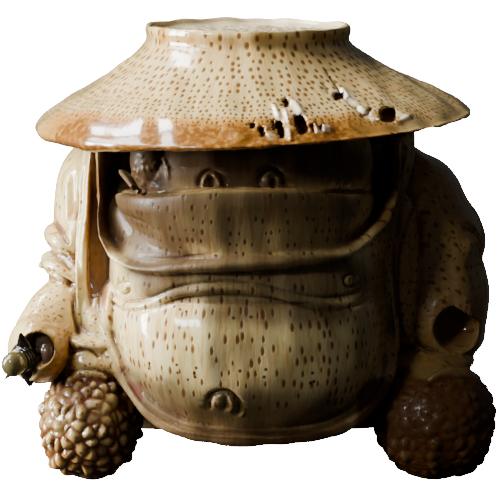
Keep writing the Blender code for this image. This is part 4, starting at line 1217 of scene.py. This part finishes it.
# Bare pale wood with a painted highlight on the broken places of the brim, whose facets face the light; the
# fifth number leans a patch, in degrees
FACETS = (
    (276.2, 114, 2.8, 7, 22, 1), (285.2, 115, 2.6, 6.5, 8, 0.9), (296.5, 108, 4.6, 9, 28, 1),
    (287.8, 132, 2.2, 8, 0, 0.5), (268.3, 136, 1.8, 4.5, 12, 0.5), (317.5, 130, 1.6, 4, 15, 0.5),
    (326, 128, 4, 4, 0, 0.3), (348, 97, 3.4, 11, 40, 1), (368.3, 114.5, 2.6, 10.5, 50, 1),
    (404.5, 117.3, 4.5, 3, 0, 0.9),
)
# Dark lines painted into the brim's crack and one of its holes as painted shade, and the black spots on the
# front, which are single pixels
DARK_LINES = ((332.5, 81, 1.3, 14, 33, 0.8), (326, 88, 1.2, 7, 25, 0.7), (337, 96, 5, 4.5, 0, 0.5))
BLACK_SPOTS = (
    (149.5, 363), (148, 369), (176.5, 365), (177, 373), (196, 368), (194, 373), (195, 377.5), (187.5, 380),
    (240, 371), (265.8, 369.5), (264.2, 377), (312.6, 373), (314, 381.5), (310.5, 383), (251, 317),
    (233.5, 318), (174, 306), (180, 309), (186, 311), (180, 248), (216, 256), (345, 262),
)
SPOT_PLACES = [np.array(seen(*pixel)) / UNIT for pixel in BLACK_SPOTS]
amber = zones(STAINED)
brim = np.clip((reach - 35.0) / 3.0, 0, 1) * on_hat
front_brim = brim * np.clip((-y - 8) / 14, 0, 1) * np.clip((30 - x) / 14, 0, 1)
amber = np.maximum(amber, 0.8 * front_brim + 0.3 * brim)
amber = np.maximum(amber, np.where(under, 0.8, 0))
facets = zones(FACETS) * on_hat
amber[facets > 0.3] = 0.1
dot_chance[facets > 0.2] = 0
neck = on_hat & (z > 77.5) & (z < 83.0) & (reach > 18.8)
amber = np.where(neck, np.maximum(amber, 0.28), amber)
# The right foot gets a darker stain than the left, partly stain and partly painted shade on the side away
# from the light; the left foot darkens towards the bottom
amber = np.where(foot, np.where(x > 0, 0.75, 0.35 + 0.25 * np.clip((12 - z) / 8, 0, 1)), amber)
# Patina and painted shadow on the feet: the left foot darkens from its lit left edge towards its right and
# has a brown patch in its middle; the right foot, away from the light, is dark all over
left_foot = 0.15 + 0.6 * np.clip((x + 32) / 12, 0, 1)
left_foot = np.maximum(left_foot, 0.65 * zone(73, 398, 17, 17))
shadow_and_patina = np.where(foot, np.where(x > 0, 0.86, left_foot), zones(SHADOW_AND_PATINA) * body)
amber = np.where(body & ~facing, np.maximum(amber, 0.5), amber)
shadow_and_patina = np.where(body & ~facing & ~foot, 0.3, shadow_and_patina)
keep(toad, "amber", softened(amber, 4))
keep(toad, "dot_chance", dot_chance)
keep(toad, "on_foot", softened(foot.astype(float), 3))
keep(toad, "shadow_and_patina", softened(shadow_and_patina, 6))
keep(toad, "pale", np.maximum(0.8 * facets, 0.45 * dish))
keep(toad, "dark_lines", zones(DARK_LINES))
print("rows on the hat", round(float(row_of_length[-1]), 1), "black spots", len(SPOT_PLACES))

# %% [markdown]
# Helpers for materials. Each adds one node, joins its inputs, which are numbers or sockets of other nodes,
# and returns its output, so that a formula reads like a line of arithmetic.

# %% Helpers for materials
def tint(red, green, blue):
    """A colour picked on screen, 0 to 255, made linear for the shader."""
    shares = [value / 255 for value in (red, green, blue)]
    return (*(((c + 0.055) / 1.055) ** 2.4 if c > 0.04 else c / 12.92 for c in shares), 1)


def feed(tree, socket, value):
    if isinstance(value, bpy.types.NodeSocket):
        tree.links.new(value, socket)
    elif value is not None:
        socket.default_value = value


def add_node(tree, kind, *values, **settings):
    """A new node with its settings, whose inputs take the values in turn."""
    node = tree.nodes.new("ShaderNode" + kind)
    for name, value in settings.items():
        setattr(node, name, value)
    for socket, value in zip(node.inputs, values):
        feed(tree, socket, value)
    return node


def calc(tree, operation, *values):
    return add_node(tree, "Math", *values, operation=operation).outputs[0]


def diagonal(tree, first, second):
    """The square root of the sum of two squares."""
    squares = (calc(tree, "MULTIPLY", value, value) for value in (first, second))
    return calc(tree, "SQRT", calc(tree, "ADD", *squares))


def fit(tree, value, low, high, to_low=0.0, to_high=1.0):
    """A value's place between two others, stretched to a new range and kept inside it."""
    given = (value, low, high, to_low, to_high)
    return add_node(tree, "MapRange", *given, interpolation_type="SMOOTHSTEP").outputs["Result"]


def blend(tree, share, first, second):
    node = add_node(tree, "Mix", share, data_type="RGBA")
    feed(tree, node.inputs[6], first)
    feed(tree, node.inputs[7], second)
    return node.outputs[2]


def kept(tree, name):
    return add_node(tree, "Attribute", attribute_name=name).outputs["Fac"]


def object_place(tree):
    """Object coordinates in millimetres."""
    metres = add_node(tree, "TexCoord").outputs["Object"]
    node = add_node(tree, "VectorMath", metres, operation="SCALE")
    node.inputs["Scale"].default_value = 1 / UNIT
    return node.outputs[0]


def distance_to(tree, place, spot):
    return add_node(tree, "VectorMath", place, spot, operation="DISTANCE").outputs["Value"]


def parts_of(tree, vector):
    return add_node(tree, "SeparateXYZ", vector).outputs[:3]


def vector_of(tree, *values):
    return add_node(tree, "CombineXYZ", *values).outputs[0]


def cloud(tree, place, scale, detail):
    """Noise from 0 to 1 at a place, so many swings to the millimetre."""
    node = add_node(tree, "TexNoise", place)
    feed(tree, node.inputs["Scale"], scale)
    node.inputs["Detail"].default_value = detail
    return node.outputs["Fac"]


def chance(tree, vector):
    """Three random numbers for each whole place."""
    return parts_of(tree, add_node(tree, "TexWhiteNoise", vector).outputs["Color"])


def new_group(name, inputs, outputs):
    tree = bpy.data.node_groups.new(name, "ShaderNodeTree")
    for way, labels in (("INPUT", inputs), ("OUTPUT", outputs)):
        for label in labels:
            tree.interface.new_socket(name=label, in_out=way, socket_type="NodeSocketFloat")
    return tree, tree.nodes.new("NodeGroupInput").outputs, tree.nodes.new("NodeGroupOutput").inputs


def place_group(tree, group, **values):
    node = add_node(tree, "Group", node_tree=group)
    for name, value in values.items():
        feed(tree, node.inputs[name], value)
    return node.outputs


def new_material(name):
    material = bpy.data.materials.new(name)
    material.use_nodes = True
    return material, material.node_tree, material.node_tree.nodes["Principled BSDF"]


def add_bump(tree, shader, strength, distance, height):
    """Dents the surface by a height; the distance is in millimetres."""
    bump = add_node(tree, "Bump")
    for name, value in (("Strength", strength), ("Distance", distance * UNIT), ("Height", height)):
        feed(tree, bump.inputs[name], value)
    tree.links.new(bump.outputs[0], shader.inputs["Normal"])


# %% [markdown]
# The dots themselves. Each row is cut into a whole number of cells round the axis, each cell holds one dot,
# a little off its middle, and some cells stay empty. The result is a mask, so the same group can darken the
# wood and dent it. A second group makes loose freckles, and a third the small changes of a handled surface.

# %% Node groups for dots, freckles and handled surfaces
# Each random shift or size: the factor for a number from 0 to 1, and what is added to it
DOT_ASIDE, DOT_AHEAD, DOT_GROWTH = (0.5, -0.75), (0.4, -0.7), (0.6, 0.7)
# Where a mask starts and where it is full, in sizes of the dot
DOT_FADE, CORE_FADE, FRECKLE_FADE = (1.35, 0.6), (0.8, 0.2), (1.3, 0.6)


def make_dots():
    tree, given, result = new_group(
        "root_dots", ("Row", "Gap", "Cells", "Size", "Dash", "Chance"), ("Mask", "Core"),
    )
    across, depth = parts_of(tree, object_place(tree))[:2]
    reach = diagonal(tree, across, depth)
    turn = calc(tree, "ARCTAN2", across, calc(tree, "MULTIPLY", depth, -1.0))
    turn = calc(tree, "DIVIDE", turn, 2 * math.pi)
    row = calc(tree, "FLOOR", given["Row"])
    cells = given["Cells"]
    shift = chance(tree, vector_of(tree, row, 3.0, 5.0))[0]
    around = calc(tree, "MULTIPLY", calc(tree, "ADD", calc(tree, "ADD", turn, 0.5), shift), cells)
    cell = calc(tree, "FLOOR", around)
    off_across, off_along, drawn = chance(tree, vector_of(tree, cell, row, 1.0))
    bigger = chance(tree, vector_of(tree, cell, row, 8.0))[0]
    aside = calc(tree, "MULTIPLY_ADD", off_across, *DOT_ASIDE)
    local = calc(tree, "ADD", calc(tree, "SUBTRACT", around, cell), aside)
    ahead = calc(tree, "MULTIPLY_ADD", off_along, *DOT_AHEAD)
    local_row = calc(tree, "ADD", calc(tree, "FRACT", given["Row"]), ahead)
    width = calc(tree, "MULTIPLY", calc(tree, "MULTIPLY", local, reach), 2 * math.pi)
    width = calc(tree, "DIVIDE", width, cells)
    length = calc(tree, "DIVIDE", calc(tree, "MULTIPLY", local_row, given["Gap"]), given["Dash"])
    away = diagonal(tree, width, length)
    size = calc(tree, "MULTIPLY", given["Size"], calc(tree, "MULTIPLY_ADD", bigger, *DOT_GROWTH))
    there = calc(tree, "LESS_THAN", drawn, given["Chance"])
    share = calc(tree, "DIVIDE", away, size)
    tree.links.new(calc(tree, "MULTIPLY", there, fit(tree, share, *DOT_FADE)), result["Mask"])
    tree.links.new(calc(tree, "MULTIPLY", there, fit(tree, share, *CORE_FADE)), result["Core"])
    return tree


def make_freckles():
    """Loose round dots, without rows."""
    tree, given, result = new_group("freckles", ("Spacing", "Size", "Chance"), ("Mask",))
    node = add_node(tree, "TexVoronoi", object_place(tree))
    tree.links.new(calc(tree, "DIVIDE", 1.0, given["Spacing"]), node.inputs["Scale"])
    away = calc(tree, "MULTIPLY", node.outputs["Distance"], given["Spacing"])
    there = calc(tree, "LESS_THAN", parts_of(tree, node.outputs["Color"])[0], given["Chance"])
    share = calc(tree, "DIVIDE", away, given["Size"])
    tree.links.new(calc(tree, "MULTIPLY", there, fit(tree, share, *FRECKLE_FADE)), result["Mask"])
    return tree


def make_unevenness():
    """A roughness that changes a little from place to place, and the height that goes with it."""
    tree, given, result = new_group(
        "handled_surface", ("Roughness", "Change", "Scale"), ("Roughness", "Height"),
    )
    swing = calc(tree, "SUBTRACT", cloud(tree, object_place(tree), given["Scale"], 4.0), 0.5)
    rough = calc(tree, "MULTIPLY_ADD", swing, given["Change"], given["Roughness"])
    tree.links.new(rough, result["Roughness"])
    tree.links.new(swing, result["Height"])
    return tree


dots_group, freckle_group, uneven_group = make_dots(), make_freckles(), make_unevenness()
print("node groups", [group.name for group in bpy.data.node_groups])

# %% [markdown]
# The bamboo root. Its colour is laid on in layers: pale wood first, then the streaks of its fibres, amber
# stain, painted shade mixed with some stain in the hollows, brown patina mixed with painted shadow below the
# brim and on the side away from the light, bare wood with a painted highlight where the brim is broken, and
# the dots and black spots on top. Polished wood is waxed and shines. It is duller in the hollows and where
# the patina and painted shadow lie.

# %% Material of the bamboo root
CREAM, PALE, GREEN = tint(236, 209, 140), tint(247, 231, 180), tint(206, 190, 122)
TAN, AMBER, DEEP_AMBER = tint(204, 160, 92), tint(184, 132, 58), tint(122, 74, 24)
BROWN, DARK, DOT, BLACK_DOT = tint(88, 44, 16), tint(38, 19, 9), tint(118, 72, 24), tint(24, 13, 7)
# The brown of patina mixed with painted shadow, and pale bare wood with a painted highlight
SHADOW_AND_PATINA_BROWN, BARE_WOOD_AND_HIGHLIGHT = tint(60, 36, 13), tint(250, 236, 206)
# Height counts this much less than the turn round the axis, which draws the fibres out
FIBRE_STRETCH = 0.004
SPOT_EDGE, SPOT_CORE, FAR_AWAY = 0.42, 0.2, 9.0


def make_bamboo():
    material, tree, shader = new_material("bamboo_root")
    place = object_place(tree)
    across, depth, height = parts_of(tree, place)
    reach = diagonal(tree, across, depth)
    spoke = vector_of(
        tree, calc(tree, "DIVIDE", across, reach), calc(tree, "DIVIDE", depth, reach),
        calc(tree, "MULTIPLY", height, FIBRE_STRETCH),
    )
    streaks = cloud(tree, spoke, 46.0, 4.0)
    wide_streaks = cloud(tree, spoke, 13.0, 2.0)
    mottle = cloud(tree, place, 0.12, 3.0)
    speckle = cloud(tree, place, 0.9, 4.0)
    shade, fine, wide = kept(tree, "shade"), kept(tree, "fine_hollow"), kept(tree, "wide_hollow")
    amber, on_foot, on_hat = kept(tree, "amber"), kept(tree, "on_foot"), kept(tree, "on_hat")

    colour = blend(tree, fit(tree, mottle, 0.35, 0.65), CREAM, GREEN)
    colour = blend(tree, fit(tree, wide_streaks, 0.45, 0.75, 0.1, 0.5), colour, PALE)
    colour = blend(tree, fit(tree, streaks, 0.45, 0.68, 0.0, 0.7), colour, TAN)
    colour = blend(tree, calc(tree, "MULTIPLY", on_hat, 0.3), colour, TAN)
    colour = blend(tree, fit(tree, cloud(tree, spoke, 80.0, 3.0), 0.54, 0.7, 0.0, 0.55), colour, AMBER)
    stain = calc(tree, "MULTIPLY", amber, fit(tree, speckle, 0.25, 0.7, 0.75, 1.12))
    colour = blend(tree, fit(tree, stain, 0.05, 0.75), colour, AMBER)
    colour = blend(tree, fit(tree, stain, 0.7, 1.15), colour, DEEP_AMBER)
    # Painted shade mixed with some amber stain: the closed sky and the wide hollows darken the colour to deep
    # amber and near black in recesses; fine creases go brown
    closed = calc(tree, "ADD", shade, calc(tree, "MULTIPLY", wide, 0.5))
    colour = blend(tree, fit(tree, closed, 0.18, 0.6, 0.0, 0.75), colour, DEEP_AMBER)
    colour = blend(tree, fit(tree, closed, 0.5, 0.95, 0.0, 0.75), colour, DARK)
    colour = blend(tree, fit(tree, fine, 0.03, 0.16, 0.0, 0.6), colour, BROWN)
    # Patina and painted shadow: brown laid over the patches below the brim, on the side away from the light
    # and low down
    shadow_and_patina_share = calc(tree, "MULTIPLY", kept(tree, "shadow_and_patina"), fit(tree, streaks, 0.3, 0.7, 0.985, 1.01))
    colour = blend(tree, shadow_and_patina_share, colour, SHADOW_AND_PATINA_BROWN)
    valley = calc(tree, "MULTIPLY", on_foot, fit(tree, wide, -0.38, 0.12))
    colour = blend(tree, valley, colour, BROWN)
    # Bare wood with a painted highlight on the brim's broken places, and a paler dish in the crown
    colour = blend(tree, kept(tree, "pale"), colour, BARE_WOOD_AND_HIGHLIGHT)

    row = kept(tree, "row")
    whole = calc(tree, "FLOOR", row)
    curve = calc(tree, "MULTIPLY_ADD", whole, CELL_CURVE[0], CELL_CURVE[1])
    curve = calc(tree, "MULTIPLY_ADD", curve, whole, CELL_CURVE[2])
    is_hat = calc(tree, "GREATER_THAN", on_hat, 0.5)
    hat_cells = calc(tree, "MULTIPLY", calc(tree, "ROUND", curve), is_hat)
    body_cells = calc(tree, "MULTIPLY", calc(tree, "SUBTRACT", 1.0, is_hat), BODY_CELLS)
    cells = calc(tree, "ADD", hat_cells, body_cells)
    dots = place_group(
        tree, dots_group, Row=row, Gap=kept(tree, "row_gap"), Cells=cells, Size=kept(tree, "dot_size"),
        Dash=kept(tree, "dot_dash"), Chance=kept(tree, "dot_chance"),
    )
    freckled = place_group(tree, freckle_group, Spacing=1.0, Size=0.27, Chance=kept(tree, "freckles"))["Mask"]
    spots = calc(tree, "MAXIMUM", dots["Mask"], freckled)
    # Dots darken further where patina and painted shadow lie
    dot_colour = blend(tree, kept(tree, "shadow_and_patina"), DOT, DARK)
    colour = blend(tree, calc(tree, "MULTIPLY", spots, 0.85), colour, dot_colour)
    colour = blend(tree, calc(tree, "MULTIPLY", dots["Core"], 0.6), colour, BROWN)
    # Painted shade in the brim's crack and one hole, laid on as dark lines
    colour = blend(tree, kept(tree, "dark_lines"), colour, BLACK_DOT)
    nearest = FAR_AWAY
    for spot in SPOT_PLACES:
        nearest = calc(tree, "MINIMUM", nearest, distance_to(tree, place, spot))
    colour = blend(tree, fit(tree, nearest, SPOT_EDGE, SPOT_CORE, 0.0, 0.9), colour, BLACK_DOT)
    feed(tree, shader.inputs["Base Color"], colour)

    surface = place_group(tree, uneven_group, Roughness=0.24, Change=0.16, Scale=0.35)
    rough = calc(tree, "ADD", surface["Roughness"], fit(tree, closed, 0.15, 0.6, 0.0, 0.35))
    rough = calc(tree, "MULTIPLY_ADD", kept(tree, "shadow_and_patina"), 0.25, rough)
    feed(tree, shader.inputs["Roughness"], rough)
    feed(tree, shader.inputs["Coat Weight"], calc(tree, "SUBTRACT", 1.0, kept(tree, "shadow_and_patina")))
    shader.inputs["Specular IOR Level"].default_value = 0.22
    shader.inputs["Coat Roughness"].default_value = 0.1
    relief = calc(tree, "SUBTRACT", calc(tree, "MULTIPLY", streaks, 0.5), spots)
    relief = calc(tree, "ADD", relief, calc(tree, "MULTIPLY", speckle, 0.35))
    add_bump(tree, shader, 0.35, 0.15, relief)
    return material


wood = make_bamboo()
toad.data.materials.clear()
toad.data.materials.append(wood)
print("bamboo has", len(wood.node_tree.nodes), "nodes")

# %% [markdown]
# Dark horn. Horn is nearly black, with an olive sheen where light enters it, as at the knob's end. The petal
# is painted a lighter brown: partly its own brown where it is thin, partly painted light and reflection that
# it catches in the fist's shade. The horn is polished brighter than the wood.

# %% Material of the horn
HORN_BLACK, HORN_OLIVE, HORN_BROWN = tint(20, 18, 16), tint(92, 84, 50), tint(58, 40, 24)
# The petal's lighter brown is partly painted light and reflection in the fist's shade
PETAL_LIT_BROWN, PETAL_SHARE, PETAL_LEFT = tint(92, 70, 54), 0.9, 36
KNOB_START, KNOB_FADE = 5.8, 0.6


def make_horn():
    material, tree, shader = new_material("dark_horn")
    grain = cloud(tree, object_place(tree), 0.8, 3.0)
    colour = blend(tree, fit(tree, grain, 0.45, 0.7), HORN_BLACK, HORN_BROWN)
    knob = calc(tree, "MULTIPLY", kept(tree, "on_knob"), fit(tree, grain, 0.2, 0.6, 0.7, 1.0))
    colour = blend(tree, knob, colour, HORN_OLIVE)
    colour = blend(tree, kept(tree, "on_petal"), colour, PETAL_LIT_BROWN)
    feed(tree, shader.inputs["Base Color"], colour)
    surface = place_group(tree, uneven_group, Roughness=0.2, Change=0.2, Scale=0.8)
    feed(tree, shader.inputs["Roughness"], surface["Roughness"])
    shader.inputs["Coat Weight"].default_value = 0.5
    shader.inputs["Coat Roughness"].default_value = 0.06
    add_bump(tree, shader, 0.15, 0.1, surface["Height"])
    return material


rod_points = read_points(rod.data) / UNIT
along_rod = (rod_points - np.array(ROD_PLACE)) @ (np.array(ROD_HEADING) / np.linalg.norm(ROD_HEADING))
keep(rod, "on_petal", PETAL_SHARE * (pixels_of(rod_points * UNIT)[:, 0] > PETAL_LEFT))
keep(rod, "on_knob", np.clip((along_rod - KNOB_START) / KNOB_FADE, 0, 1))
horn = make_horn()
rod.data.materials.clear()
rod.data.materials.append(horn)
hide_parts("toad_carving")
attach(toad, "root")
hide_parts("horn_rod")
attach(rod, "root")

# %% [markdown]
# Floor and light. The camera sees the floor as plain white, but the toad is lit as if it stood on a dark
# one. A large soft window stands high at the left and a brighter one level with the toad, which leaves the
# toad's other side dark. A small low one gives the belly its highlight, and one behind lights the hat.

# %% Floor and light
FLOOR_SIZE = 4.0
FLOOR_WHITE, FLOOR_GREY, FLOOR_GLOW = (1, 1, 1, 1), tint(40, 38, 36), 60.0
AIR_COLOUR, AIR_LIGHT = (1, 0.97, 0.93, 1), 0.045
# Each window's name, its heading from the toad, its distance, width and height in metres, and its power
WINDOWS = (
    ("window", (-0.70, -0.05, 0.71), 0.55, 0.26, 0.26, 6.0),
    ("side_window", (-0.98, -0.07, 0.20), 0.60, 0.14, 0.30, 13.5),
    ("low_window", (-0.60, -0.72, 0.50), 0.60, 0.08, 0.08, 1.0),
    ("sky_light", (-0.50, 0.32, 0.80), 0.60, 0.10, 0.12, 2.0),
)
AIM = (0, 0, 0.04)


def make_floor_material():
    material, tree, shader = new_material("pale_floor")
    seen_by_camera = add_node(tree, "LightPath").outputs["Is Camera Ray"]
    feed(tree, shader.inputs["Base Color"], blend(tree, seen_by_camera, FLOOR_GREY, FLOOR_WHITE))
    shader.inputs["Roughness"].default_value = 0.9
    shader.inputs["Specular IOR Level"].default_value = 0.0
    shader.inputs["Emission Color"].default_value = FLOOR_WHITE
    feed(tree, shader.inputs["Emission Strength"], calc(tree, "MULTIPLY", seen_by_camera, FLOOR_GLOW))
    return material


pick()
bpy.ops.mesh.primitive_plane_add(size=FLOOR_SIZE, location=(0, 0, 0))
floor = bpy.context.object
floor.name = "floor"
floor.data.materials.append(make_floor_material())
for name, heading, away, width, height, power in WINDOWS:
    place = Vector(AIM) + Vector(heading).normalized() * away
    bpy.ops.object.light_add(type="AREA", location=place)
    window = bpy.context.object
    window.name = name
    window.data.shape = "RECTANGLE"
    window.data.size, window.data.size_y = width, height
    window.data.energy = power
    window.rotation_euler = (Vector(AIM) - place).to_track_quat("-Z", "Y").to_euler()
world = bpy.data.worlds.new("studio")
bpy.context.scene.world = world
world.use_nodes = True
air = world.node_tree.nodes["Background"]
air.inputs["Color"].default_value = AIR_COLOUR
air.inputs["Strength"].default_value = AIR_LIGHT
print("windows", [name for name, *rest in WINDOWS])
